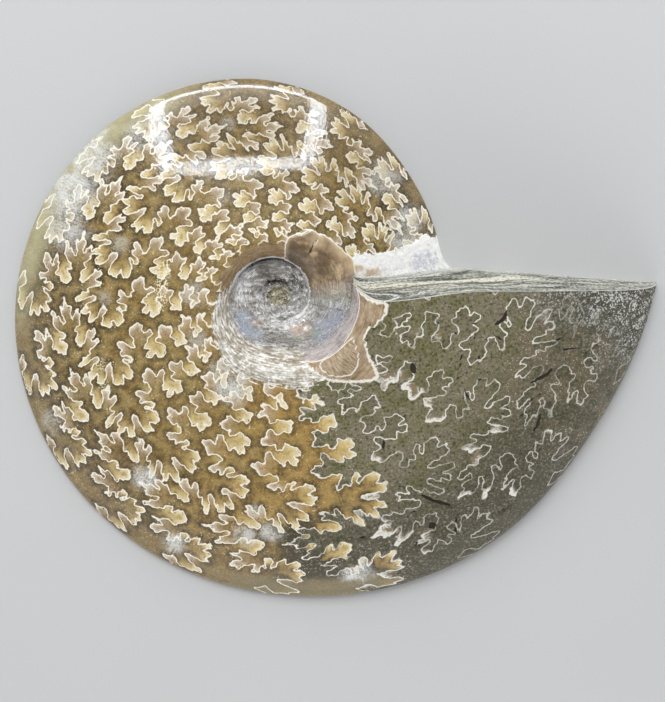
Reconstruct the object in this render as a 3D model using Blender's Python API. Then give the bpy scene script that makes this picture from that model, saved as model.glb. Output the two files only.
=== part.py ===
"""Half of a polished ammonite, sawn through its middle plane and lying on the sawn face.

The shell is one logarithmic spiral about a coil axis along Z. A point on it is named by a turning angle
and a share of the keel radius there: SEAM where a whorl meets the one inside it, 1 at the keel. Two sheets
are laid over the whorls, and the aperture face, the sawn face and a plug over the first whorl close them.
Lengths are in metres, +Z is up, and the origin ends up under the middle of the bounding box.
"""

import math

import bmesh
import bpy
from bmesh.types import BMVert
from mathutils import Vector

NAME = "ammonite_half"
TURN = 2.0 * math.pi

# The spiral.
FIRST_KEEL = 0.036  # keel radius at FIRST_ANGLE, where the last whorl begins
FIRST_ANGLE = math.radians(5.0)
GROWTH = 0.137  # natural logarithm of the keel radius gained in a radian
WHORL_RATIO = math.exp(GROWTH * TURN)

# A whorl's section, in shares of its keel radius.
SEAM = 0.19
NEXT_SEAM = SEAM * WHORL_RATIO
SHOULDER = 0.265
HALF_THICKNESS = 0.232
DOME_FALL, DOME_ROUND = 1.25, 0.62  # exponents of the flank from the shoulder to the keel
WEDGE_TAPER, WEDGE_FALL, WEDGE_KEEL = 0.70, 1.15, 20.0  # the flatter flank of the last quarter
WEDGE_FROM, WEDGE_UNTIL = math.radians(250.0), math.radians(355.0)

# The keel's departure from the spiral, as (degrees, factor), felt on the outer flank only.
SWELL = (
    (5.0, 0.990),
    (42.0, 0.976),
    (70.0, 1.016),
    (100.0, 1.047),
    (170.0, 1.053),
    (215.0, 1.036),
    (275.0, 0.996),
    (310.0, 0.977),
    (336.0, 0.951),
    (365.0, 0.981),
)
SWELL_FROM, SWELL_UNTIL = 0.46, 0.80

# The aperture face: a cut that leans away from the sawn face and dips at the umbilical shoulder.
FACE_DISTANCE = 0.0079  # from the coil axis, at the sawn face
FACE_SLANT = math.radians(3.8)  # its trace turns this far towards -Y
FACE_LEAN = math.radians(10.4)
NOSE_DIP = 0.0024
NOSE_FROM, NOSE_UNTIL = 0.044, 0.022  # radii between which the dip grows

# Broken shell and calcite.
FILLET = 0.0019  # calcite in the corner between the last whorl's start and the aperture face
LEDGE = 0.0008  # shell left standing on the umbilical shoulder
LEDGE_SHARES = (0.19, 0.25, 0.245, 0.28)  # it rises between the first two and falls between the others
LEDGE_PHASES = tuple(math.radians(degrees) for degrees in (296.0, 305.0, 347.0, 356.0))
CORE_FILL, CORE_FILL_RADIUS = 0.0030, 0.009  # encrustation over the innermost whorls
CORE_SOFTNESS = 0.5  # share of the inner whorls' relief that it buries
CORE_SOFT_FROM, CORE_SOFT_UNTIL = 0.007, 0.015
UMBILICAL_SLOPE = 0.55  # mean rise of the umbilicus from the axis outwards
SQUEEZE, SQUEEZE_RADIUS = 0.0015, 0.007  # the umbilicus is pushed in towards +Y here
SQUEEZE_AT = (0.0, -0.0135)

CORE_BUMP = 0.0004  # the plug over the first whorl stands up this far
CORE_MARGIN = 1.5

# The sheets' grids.
ROWS_A_TURN = 72
INNER_TURNS = 1.625
WALL_CELLS, INNER_FLANK_CELLS, FLANK_CELLS = 5, 2, 11
FACE_TRACE_CUTS = 9
FACE_STEPS = 12  # rounds that settle a point on the aperture face
SHARP_EDGE = math.radians(40.0)


def smooth_step(start, end, value):
    """Rise from 0 at start to 1 at end, level at both."""
    share = min(max((value - start) / (end - start), 0.0), 1.0)
    return share * share * (3.0 - 2.0 * share)


def plateau(corners, value):
    """Rise from 0 to 1 between the first two corners, and fall back between the other two."""
    return smooth_step(corners[0], corners[1], value) * (1.0 - smooth_step(corners[2], corners[3], value))


def mix(first, second, share):
    """Return the value that lies this share of the way from first to second."""
    return first + (second - first) * share


def swell(angle):
    """Return the keel's factor over the plain spiral, by a cubic through the SWELL keys."""
    degrees = min(max(math.degrees(angle), SWELL[0][0]), SWELL[-1][0])
    span = max(k for k in range(len(SWELL) - 1) if SWELL[k][0] <= degrees)
    (x0, y0), (x1, y1) = SWELL[span], SWELL[span + 1]
    slopes = []
    for k in (span, span + 1):
        before, after = SWELL[max(k - 1, 0)], SWELL[min(k + 1, len(SWELL) - 1)]
        slopes.append((after[1] - before[1]) / (after[0] - before[0]) * (x1 - x0))
    t = (degrees - x0) / (x1 - x0)
    rise = t * t * (3.0 - 2.0 * t)
    return mix(y0, y1, rise) + t * (1.0 - t) * ((1.0 - t) * slopes[0] - t * slopes[1])


def spiral(angle):
    """Return the plain spiral's keel radius at a turning angle."""
    return FIRST_KEEL * math.exp(GROWTH * (angle - FIRST_ANGLE))


def flank(angle, share):
    """Return the flank's height in half thicknesses: domed, then a wedge in the last quarter."""
    t = min((share - SHOULDER) / (1.0 - SHOULDER), 1.0)
    dome = (1.0 - t**DOME_FALL) ** DOME_ROUND
    wedge = (1.0 - WEDGE_TAPER * t**WEDGE_FALL) * math.sqrt(1.0 - t**WEDGE_KEEL)
    return mix(dome, wedge, smooth_step(WEDGE_FROM, WEDGE_UNTIL, angle))


def wall(share):
    """Return the umbilical wall's height in half thicknesses, from the seam up to the shoulder."""
    foot = flank(0.0, NEXT_SEAM) / WHORL_RATIO
    t = (SHOULDER - share) / (SHOULDER - SEAM)
    return foot + (1.0 - foot) * math.sqrt(max(1.0 - t * t, 0.0))


def section(angle, share):
    """Return the radius and height of the shell at a turning angle and a share of the keel radius."""
    keel = spiral(angle)
    outer = smooth_step(SWELL_FROM, SWELL_UNTIL, share)
    radius = share * keel * mix(1.0, swell(angle), outer)
    rise = wall(share) if share < SHOULDER else flank(angle, share)
    height = HALF_THICKNESS * keel * rise
    soft = CORE_SOFTNESS * (1.0 - smooth_step(CORE_SOFT_FROM, CORE_SOFT_UNTIL, radius))
    height = mix(height, UMBILICAL_SLOPE * radius, soft)
    if share < 1.0:
        height += CORE_FILL * math.exp(-((radius / CORE_FILL_RADIUS) ** 2))
    return radius, height


def face_angle(turn, share):
    """Return the turning angle past turn at which a share of the shell lies on the aperture face."""
    angle = 0.0
    for _ in range(FACE_STEPS):
        radius, height = section(turn + angle, share)
        dip = NOSE_DIP * smooth_step(NOSE_FROM, NOSE_UNTIL, radius) * height / (HALF_THICKNESS * spiral(TURN))
        reach = FACE_DISTANCE - height * math.tan(FACE_LEAN) - dip
        angle = math.asin(reach / radius) - FACE_SLANT
    return angle


def shell_point(phase, share):
    """Return the shell's point at a phase, which is 0 at the last whorl's start and TURN at its end.

    Both ends of the last whorl lie on the aperture face, so a line of one phase is a curve that
    follows the face at the two ends.
    """
    start = face_angle(0.0, max(share, NEXT_SEAM))
    end = face_angle(TURN, share)
    angle = phase + mix(start, end, min(max(phase / TURN, 0.0), 1.0))
    radius, height = section(angle, share)
    if phase >= 0.0:
        outer = smooth_step(NEXT_SEAM, 1.0, share)
        away = max((angle - start) * radius, 0.0)
        radius += FILLET * outer * math.exp(-away / FILLET)
        height += LEDGE * plateau(LEDGE_SHARES, share) * plateau(LEDGE_PHASES, phase)
    x, y = radius * math.cos(angle), radius * math.sin(angle)
    off = ((x - SQUEEZE_AT[0]) ** 2 + (y - SQUEEZE_AT[1]) ** 2) / SQUEEZE_RADIUS**2
    return x, y + SQUEEZE * math.exp(-off), height


def lay_sheet(bm, phases, shares):
    """Lay a grid over the shell, one row of points for each phase and one column for each share."""
    last_row, last_column = len(phases) - 1, len(shares) - 1
    sheet = bmesh.ops.create_grid(bm, x_segments=last_row, y_segments=last_column, size=0.5)
    for vert in sheet["verts"]:
        row = round((vert.co.x + 0.5) * last_row)
        column = round((vert.co.y + 0.5) * last_column)
        vert.co = shell_point(phases[row], shares[column])


def wall_shares():
    """Return the shares from a whorl's seam to the next whorl's, crowded on the steep wall."""
    steep = [mix(SEAM, SHOULDER, 1.0 - math.cos(0.25 * TURN * k / WALL_CELLS)) for k in range(WALL_CELLS)]
    level = [mix(SHOULDER, NEXT_SEAM, k / INNER_FLANK_CELLS) for k in range(INNER_FLANK_CELLS + 1)]
    return steep + level


def flank_shares():
    """Return the shares from the next whorl's seam to the keel, crowded at the keel."""
    return [mix(NEXT_SEAM, 1.0, math.sin(0.25 * TURN * k / FLANK_CELLS)) for k in range(FLANK_CELLS + 1)]


def nearest_vert(bm, phase, share):
    """Return the vertex that stands at a point of the shell."""
    point = Vector(shell_point(phase, share))
    return min(bm.verts, key=lambda vert: (vert.co - point).length)


def close_shell(bm):
    """Fill the aperture face, the sawn face and the hole over the first whorl."""
    trace_edge = bm.edges.new((nearest_vert(bm, 0.0, 1.0), nearest_vert(bm, TURN, 1.0)))
    cut = bmesh.ops.subdivide_edges(bm, edges=[trace_edge], cuts=FACE_TRACE_CUTS)
    trace = {edge for vert in cut["geom_inner"] if isinstance(vert, BMVert) for edge in vert.link_edges}
    rims = [edge for edge in bm.edges if edge.is_boundary]
    core_radius = NEXT_SEAM * spiral(TURN * (1.0 - INNER_TURNS)) * CORE_MARGIN
    sawn = [edge for edge in rims if max(vert.co.z for vert in edge.verts) == 0.0]
    core = [edge for edge in rims if max(vert.co.xy.length for vert in edge.verts) < core_radius]
    aperture = [edge for edge in rims if edge not in sawn and edge not in core]
    bmesh.ops.contextual_create(bm, geom=sawn + list(trace))
    bmesh.ops.contextual_create(bm, geom=aperture + list(trace))
    plug = bmesh.ops.contextual_create(bm, geom=core)
    bmesh.ops.recalc_face_normals(bm, faces=bm.faces)
    bmesh.ops.poke(bm, faces=plug["faces"], offset=CORE_BUMP)
    bmesh.ops.triangulate(bm, faces=[face for face in bm.faces if len(face.verts) > 4])


def stand_on_base(bm):
    """Move the origin under the middle of the bounding box."""
    low = [min(vert.co[axis] for vert in bm.verts) for axis in range(3)]
    high = [max(vert.co[axis] for vert in bm.verts) for axis in range(3)]
    middle = (-(low[0] + high[0]) / 2.0, -(low[1] + high[1]) / 2.0, -low[2])
    bmesh.ops.translate(bm, vec=middle, verts=bm.verts)


def make_mesh():
    """Return the closed mesh of the fossil half."""
    bm = bmesh.new()
    row = TURN / ROWS_A_TURN
    inner_rows = round(INNER_TURNS * ROWS_A_TURN)
    lay_sheet(bm, [row * k for k in range(-inner_rows, ROWS_A_TURN + 1)], wall_shares())
    lay_sheet(bm, [row * k for k in range(ROWS_A_TURN + 1)], flank_shares())
    bmesh.ops.remove_doubles(bm, verts=bm.verts, dist=1e-6)
    close_shell(bm)
    stand_on_base(bm)
    mesh = bpy.data.meshes.new(NAME)
    bm.to_mesh(mesh)
    bm.free()
    mesh.shade_smooth()
    mesh.set_sharp_from_angle(angle=SHARP_EDGE)
    return mesh


def make_material():
    """Return the polished golden calcite that most of the fossil shows."""
    material = bpy.data.materials.new("polished_calcite")
    material.use_nodes = True
    shader = material.node_tree.nodes["Principled BSDF"]
    shader.inputs["Base Color"].default_value = (0.28, 0.20, 0.08, 1.0)
    shader.inputs["Roughness"].default_value = 0.2
    shader.inputs["Metallic"].default_value = 0.0
    return material


def main():
    """Build the fossil half in a collection of its own."""
    for stale in list(bpy.data.objects):
        bpy.data.objects.remove(stale, do_unlink=True)
    collection = bpy.data.collections.new("ammonite fossil half")
    bpy.context.scene.collection.children.link(collection)
    fossil = bpy.data.objects.new(NAME, make_mesh())
    fossil.data.materials.append(make_material())
    collection.objects.link(fossil)


main()
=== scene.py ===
"""The looks of a polished ammonite half: its sutures, nacre, broken shell, stone fill and sawn faces.

The piece is one closed mesh over the same spiral as the solid that it stands for, fine enough to carry
the suture lines as attributes. Lengths are in metres unless a name says mm.
"""

import logging
import math
from collections.abc import Callable
from dataclasses import dataclass, field
from enum import IntEnum

import bmesh
import bpy
import numpy as np
from bpy.types import Material, Mesh, Node, NodeSocket, Object
from mathutils import Matrix, Vector, kdtree, noise


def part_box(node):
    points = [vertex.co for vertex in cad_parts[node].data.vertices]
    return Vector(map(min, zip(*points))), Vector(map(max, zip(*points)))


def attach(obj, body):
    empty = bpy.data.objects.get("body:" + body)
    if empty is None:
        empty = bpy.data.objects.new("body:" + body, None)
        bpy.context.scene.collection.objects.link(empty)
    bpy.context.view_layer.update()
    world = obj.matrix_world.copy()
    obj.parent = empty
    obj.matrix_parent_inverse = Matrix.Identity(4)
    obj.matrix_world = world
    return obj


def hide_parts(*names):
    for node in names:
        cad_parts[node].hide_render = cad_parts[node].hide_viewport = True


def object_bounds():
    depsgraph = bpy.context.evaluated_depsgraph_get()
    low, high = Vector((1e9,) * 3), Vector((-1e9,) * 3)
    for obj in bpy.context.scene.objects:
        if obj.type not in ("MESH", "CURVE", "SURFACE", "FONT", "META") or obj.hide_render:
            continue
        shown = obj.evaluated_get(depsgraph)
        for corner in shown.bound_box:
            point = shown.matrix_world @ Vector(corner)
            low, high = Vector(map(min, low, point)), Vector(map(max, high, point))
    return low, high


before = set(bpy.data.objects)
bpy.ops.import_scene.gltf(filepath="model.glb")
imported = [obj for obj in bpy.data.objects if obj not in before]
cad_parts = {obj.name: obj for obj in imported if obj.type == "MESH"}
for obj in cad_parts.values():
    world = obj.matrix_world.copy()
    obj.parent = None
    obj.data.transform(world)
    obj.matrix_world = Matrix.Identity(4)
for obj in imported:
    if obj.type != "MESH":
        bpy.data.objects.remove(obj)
CAD_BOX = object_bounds()

LOG = logging.getLogger("ammonite")
NODE = "ammonite_half"
BODY = "root"
TURN = 2.0 * math.pi
MM = 0.001

Colour = tuple[float, float, float]
Numbers = np.ndarray


class Side(IntEnum):
    """The faces of the fossil that are finished in different ways."""

    FLANK = 0
    APERTURE = 1
    SAWN = 2


# ---- Plain sums on arrays ----


def smooth_step(start: float, end: float, value: Numbers) -> Numbers:
    """Rise from 0 at start to 1 at end, level at both."""
    share = np.clip((np.asarray(value, float) - start) / (end - start), 0.0, 1.0)
    return share * share * (3.0 - 2.0 * share)


def plateau(corners: tuple[float, ...], value: Numbers) -> Numbers:
    """Rise from 0 to 1 between the first two corners, and fall back between the other two."""
    return smooth_step(corners[0], corners[1], value) * (1.0 - smooth_step(corners[2], corners[3], value))


def mix(first: Numbers, second: Numbers, share: Numbers) -> Numbers:
    """Return the value that lies this share of the way from first to second."""
    return first + (second - first) * share


def wander(points: Numbers, size_mm: float, seed: int, octaves: int = 3) -> Numbers:
    """Return smooth noise from about -1 to 1.

    Args:
        points: places in metres, one in a row.
        size_mm: the size of the largest lumps.
        seed: another number gives other noise.
        octaves: how many finer layers are added.

    Returns:
        One number for each point.
    """
    shift = Vector((11.3 * seed, -7.9 * seed, 5.1 * seed))
    scale = 1.0 / (size_mm * MM)
    return np.array([noise.fractal(Vector(p) * scale + shift, 0.9, 2.1, octaves) for p in points.tolist()])


# ---- The shell's form ----


@dataclass(frozen=True)
class Coil:
    """The spiral that the whorls follow and their section, the same as the solid's.

    A place on the shell has a turning angle or phase, and a share of the keel radius there: seam where a
    whorl meets the one inside it, 1 at the keel. The coil's own frame has its axis at the origin.
    """

    first_keel: float = 0.036
    first_angle: float = math.radians(5.0)
    growth: float = 0.137
    seam: float = 0.19
    shoulder: float = 0.265
    half_thickness: float = 0.232
    dome: tuple[float, float] = (1.25, 0.62)
    wedge: tuple[float, float, float] = (0.70, 1.15, 20.0)
    wedge_angles: tuple[float, float] = (math.radians(250.0), math.radians(355.0))
    swell_degrees: tuple[float, ...] = (5.0, 42.0, 70.0, 100.0, 170.0, 215.0, 275.0, 310.0, 336.0, 365.0)
    swell_factors: tuple[float, ...] = (
        0.990, 0.976, 1.016, 1.047, 1.053, 1.036, 0.996, 0.977, 0.951, 0.981,
    )
    swell_shares: tuple[float, float] = (0.46, 0.80)
    face_distance: float = 0.0079
    face_slant: float = math.radians(3.8)
    face_lean: float = math.radians(10.4)
    face_rounds: int = 12  # in which the face's turning angles settle
    nose_dip: float = 0.0024
    nose_radii: tuple[float, float] = (0.044, 0.022)
    fillet: float = 0.0019
    ledge: float = 0.0008
    ledge_shares: tuple[float, ...] = (0.19, 0.25, 0.245, 0.28)
    ledge_phases: tuple[float, ...] = tuple(math.radians(a) for a in (296.0, 305.0, 347.0, 356.0))
    core_fill: float = 0.0030
    core_fill_radius: float = 0.009
    core_softness: float = 0.5
    core_soft_radii: tuple[float, float] = (0.007, 0.015)
    umbilical_slope: float = 0.55
    squeeze: float = 0.0015
    squeeze_radius: float = 0.007
    squeeze_y: float = -0.0135

    @property
    def ratio(self) -> float:
        """Keel radius gained in a turn, as a factor."""
        return math.exp(self.growth * TURN)

    @property
    def next_seam(self) -> float:
        """The share at which the next whorl covers this one."""
        return self.seam * self.ratio

    def keel(self, angle: Numbers) -> Numbers:
        """Return the plain spiral's keel radius at a turning angle."""
        return self.first_keel * np.exp(self.growth * (np.asarray(angle, float) - self.first_angle))

    def swell(self, angle: Numbers) -> Numbers:
        """Return the keel's factor over the plain spiral, by a cubic through its keys.

        Args:
            angle: turning angles.

        Returns:
            The factors there.
        """
        at, factor = np.array(self.swell_degrees), np.array(self.swell_factors)
        degrees = np.clip(np.degrees(angle), at[0], at[-1])
        span = np.clip(np.searchsorted(at, degrees, side="right") - 1, 0, len(at) - 2)
        before, after = np.maximum(np.arange(len(at)) - 1, 0), np.minimum(np.arange(len(at)) + 1, len(at) - 1)
        slope = (factor[after] - factor[before]) / (at[after] - at[before])
        wide = at[span + 1] - at[span]
        t = (degrees - at[span]) / wide
        ease = t * t * (3.0 - 2.0 * t)
        lean = t * (1.0 - t) * ((1.0 - t) * slope[span] - t * slope[span + 1]) * wide
        return mix(factor[span], factor[span + 1], ease) + lean

    def flank(self, angle: Numbers, share: Numbers) -> Numbers:
        """Return the flank's height in half thicknesses: domed, then a wedge in the last quarter.

        Args:
            angle: turning angles.
            share: shares of the keel radius.

        Returns:
            The heights.
        """
        t = np.clip((share - self.shoulder) / (1.0 - self.shoulder), 0.0, 1.0)
        fall, rounding = self.dome
        taper, taper_fall, keel = self.wedge
        domed = (1.0 - t**fall) ** rounding
        wedged = (1.0 - taper * t**taper_fall) * np.sqrt(1.0 - t**keel)
        return mix(domed, wedged, smooth_step(*self.wedge_angles, angle))

    def wall(self, share: Numbers) -> Numbers:
        """Return the umbilical wall's height in half thicknesses, from the seam up to the shoulder."""
        foot = self.flank(0.0, self.next_seam) / self.ratio
        t = np.clip((self.shoulder - share) / (self.shoulder - self.seam), 0.0, 1.0)
        return foot + (1.0 - foot) * np.sqrt(1.0 - t * t)

    def section(self, angle: Numbers, share: Numbers) -> tuple[Numbers, Numbers]:
        """Work out the shell's section.

        Args:
            angle: turning angles.
            share: shares of the keel radius.

        Returns:
            The radii and the heights, in metres.
        """
        keel = self.keel(angle)
        outer = smooth_step(*self.swell_shares, share)
        radius = share * keel * mix(1.0, self.swell(angle), outer)
        rise = np.where(share < self.shoulder, self.wall(share), self.flank(angle, share))
        height = self.half_thickness * keel * rise
        soft = self.core_softness * (1.0 - smooth_step(*self.core_soft_radii, radius))
        height = mix(height, self.umbilical_slope * radius, soft)
        fill = self.core_fill * np.exp(-((radius / self.core_fill_radius) ** 2))
        return radius, height + np.where(share < 1.0, fill, 0.0)

    def face_angle(self, turn: float, share: Numbers) -> Numbers:
        """Find where the aperture face cuts the shell.

        Args:
            turn: 0 for the last whorl's start, TURN for its end.
            share: shares.

        Returns:
            The angles past turn at which those shares lie on the face.
        """
        angle = np.zeros_like(share)
        for _ in range(self.face_rounds):
            radius, height = self.section(turn + angle, share)
            dip = self.nose_dip * smooth_step(*self.nose_radii, radius)
            dip = dip * height / (self.half_thickness * self.keel(TURN))
            reach = self.face_distance - height * math.tan(self.face_lean) - dip
            angle = np.arcsin(reach / radius) - self.face_slant
        return angle

    def squeezed(self, x: Numbers, y: Numbers, height: Numbers) -> Numbers:
        """Return points in the coil's frame, with the umbilicus pushed in where it is."""
        off = (x**2 + (y - self.squeeze_y) ** 2) / self.squeeze_radius**2
        return np.stack([x, y + self.squeeze * np.exp(-off), height], axis=-1)

    def place(self, angle: Numbers, share: Numbers) -> Numbers:
        """Return the shell's points at turning angles and shares."""
        radius, height = self.section(angle, share)
        return self.squeezed(radius * np.cos(angle), radius * np.sin(angle), height)

    def sheet(self, phases: Numbers, shares: Numbers) -> tuple[Numbers, Numbers]:
        """Return the points and turning angles of a grid over the shell.

        Args:
            phases: 0 at the last whorl's start and TURN at its end, both on the aperture face.
            shares: shares of the keel radius.

        Returns:
            Points, one row for each phase and one column for each share, and their turning angles.
        """
        start = self.face_angle(0.0, np.maximum(shares, self.next_seam))[None, :]
        end = self.face_angle(TURN, shares)[None, :]
        phase, share = np.broadcast_arrays(phases[:, None], shares[None, :])
        angle = phase + mix(start, end, np.clip(phase / TURN, 0.0, 1.0))
        radius, height = self.section(angle, share)
        away = np.maximum((angle - start) * radius, 0.0)
        corner = self.fillet * smooth_step(self.next_seam, 1.0, share) * np.exp(-away / self.fillet)
        ledge = self.ledge * plateau(self.ledge_shares, share) * plateau(self.ledge_phases, phase)
        last = phase >= 0.0
        radius, height = radius + np.where(last, corner, 0.0), height + np.where(last, ledge, 0.0)
        return self.squeezed(radius * np.cos(angle), radius * np.sin(angle), height), angle


# ---- The suture lines ----

# One suture from the umbilicus out to the keel, fold by fold. A point is (tenths of a degree behind the
# tip of the lateral saddle, thousandths of the keel radius). Tips towards + are saddles, towards - lobes.
UMBILICAL_FOLDS = (
    (-5, 190), (-22, 202), (4, 214), (-26, 226), (-10, 236), (-60, 232), (-123, 245), (-103, 246),
    (-56, 245), (-90, 259), (-68, 268), (-109, 274), (-124, 283), (-150, 285), (-163, 277), (-192, 278),
    (-176, 288), (-189, 298), (-176, 305), (-158, 308), (-166, 322), (-142, 308), (-125, 317),
    (-113, 313), (-87, 299), (-77, 309), (-81, 319), (-65, 323), (-54, 339), (-85, 338), (-97, 323),
    (-112, 330), (-111, 346), (-139, 344), (-155, 336), (-183, 338),
)
THIRD_SADDLE = (
    (-190, 347), (-170, 353), (-196, 367), (-199, 381), (-169, 373), (-145, 375), (-149, 388),
    (-125, 387), (-99, 376), (-71, 378), (-42, 373), (-45, 387), (-52, 410), (-65, 413), (-78, 407),
    (-91, 419), (-112, 421), (-134, 413), (-155, 417), (-146, 433), (-164, 447),
)
SECOND_SADDLE = (
    (-166, 460), (-142, 465), (-115, 459), (-115, 473), (-107, 477), (-86, 467), (-72, 449), (-58, 459),
    (-39, 459), (-28, 476), (-35, 487), (-52, 491), (-40, 506), (-52, 521), (-67, 516), (-78, 504),
    (-87, 521), (-97, 522), (-111, 510), (-124, 504), (-136, 489), (-147, 488), (-156, 500), (-148, 521),
    (-158, 525),
)
LATERAL_LOBE = (
    (-174, 526), (-185, 532), (-195, 543), (-187, 551), (-176, 556), (-177, 563), (-167, 568), (-152, 568),
    (-137, 560), (-123, 563), (-113, 561), (-107, 569), (-110, 577), (-123, 588), (-135, 599),
)
LATERAL_SADDLE = (
    (-135, 610), (-120, 612), (-113, 605), (-104, 602), (-97, 612), (-89, 603), (-85, 590), (-74, 579),
    (-62, 574), (-59, 585), (-67, 594), (-74, 603), (-69, 609), (-57, 598), (-41, 589), (-25, 587),
    (-15, 591), (-6, 603), (-14, 612), (-29, 622), (-14, 628), (0, 633), (-10, 644), (-11, 656), (-22, 661),
    (-36, 656), (-48, 656), (-62, 651), (-79, 654), (-80, 661), (-70, 670), (-55, 674), (-43, 685),
    (-33, 697), (-36, 713), (-52, 709), (-63, 703), (-57, 729), (-66, 738), (-74, 729), (-77, 715),
    (-83, 723), (-92, 703), (-97, 694), (-109, 694), (-106, 713), (-99, 732), (-96, 756), (-107, 756),
    (-114, 736), (-119, 738), (-123, 713), (-134, 719), (-141, 703), (-149, 679), (-159, 682),
)
OUTER_LOBE = (
    (-158, 700), (-166, 701), (-181, 686), (-195, 689), (-187, 701), (-194, 709), (-180, 717),
    (-165, 726), (-157, 736), (-152, 746), (-160, 757), (-179, 756), (-191, 746), (-199, 756),
    (-207, 753), (-219, 739), (-228, 744), (-239, 739), (-255, 749), (-247, 760), (-233, 762),
    (-229, 767), (-240, 774), (-254, 771), (-264, 778), (-263, 785), (-278, 794), (-291, 802),
    (-271, 800), (-256, 801), (-263, 812), (-245, 808), (-227, 793), (-218, 798), (-226, 811),
    (-240, 821), (-234, 828), (-249, 841), (-246, 851), (-233, 841), (-220, 839), (-211, 830),
    (-204, 825), (-196, 806), (-185, 797),
)
VENTRAL_FOLDS = (
    (-181, 803), (-183, 817), (-174, 814), (-169, 802), (-157, 794), (-142, 805), (-142, 816),
    (-149, 834), (-157, 837), (-157, 850), (-164, 854), (-171, 847), (-186, 850), (-194, 851),
    (-193, 859), (-207, 865), (-216, 870), (-203, 873), (-189, 872), (-182, 876), (-188, 883),
    (-198, 889), (-207, 899), (-207, 914), (-196, 910), (-190, 916), (-182, 902), (-169, 889),
    (-162, 890), (-160, 904), (-161, 916), (-152, 913), (-146, 907), (-149, 896), (-143, 885),
    (-140, 894), (-134, 894), (-138, 883), (-140, 870), (-132, 859), (-124, 857), (-120, 866),
    (-124, 880), (-125, 893), (-116, 883), (-110, 867), (-98, 856), (-94, 858), (-95, 873), (-87, 871),
    (-76, 863), (-71, 858), (-64, 870), (-70, 880), (-78, 889), (-81, 896), (-69, 894), (-59, 905),
    (-66, 912), (-73, 916), (-61, 932), (-76, 934), (-93, 930), (-112, 932), (-109, 942), (-101, 951),
    (-88, 961), (-76, 968), (-73, 979), (-88, 981), (-90, 988), (-108, 985), (-119, 988), (-133, 965),
    (-150, 973), (-159, 976), (-150, 987), (-134, 995), (-140, 1000),
)
SUTURE = (
    UMBILICAL_FOLDS + THIRD_SADDLE + SECOND_SADDLE + LATERAL_LOBE + LATERAL_SADDLE + OUTER_LOBE
    + VENTRAL_FOLDS
)


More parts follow.
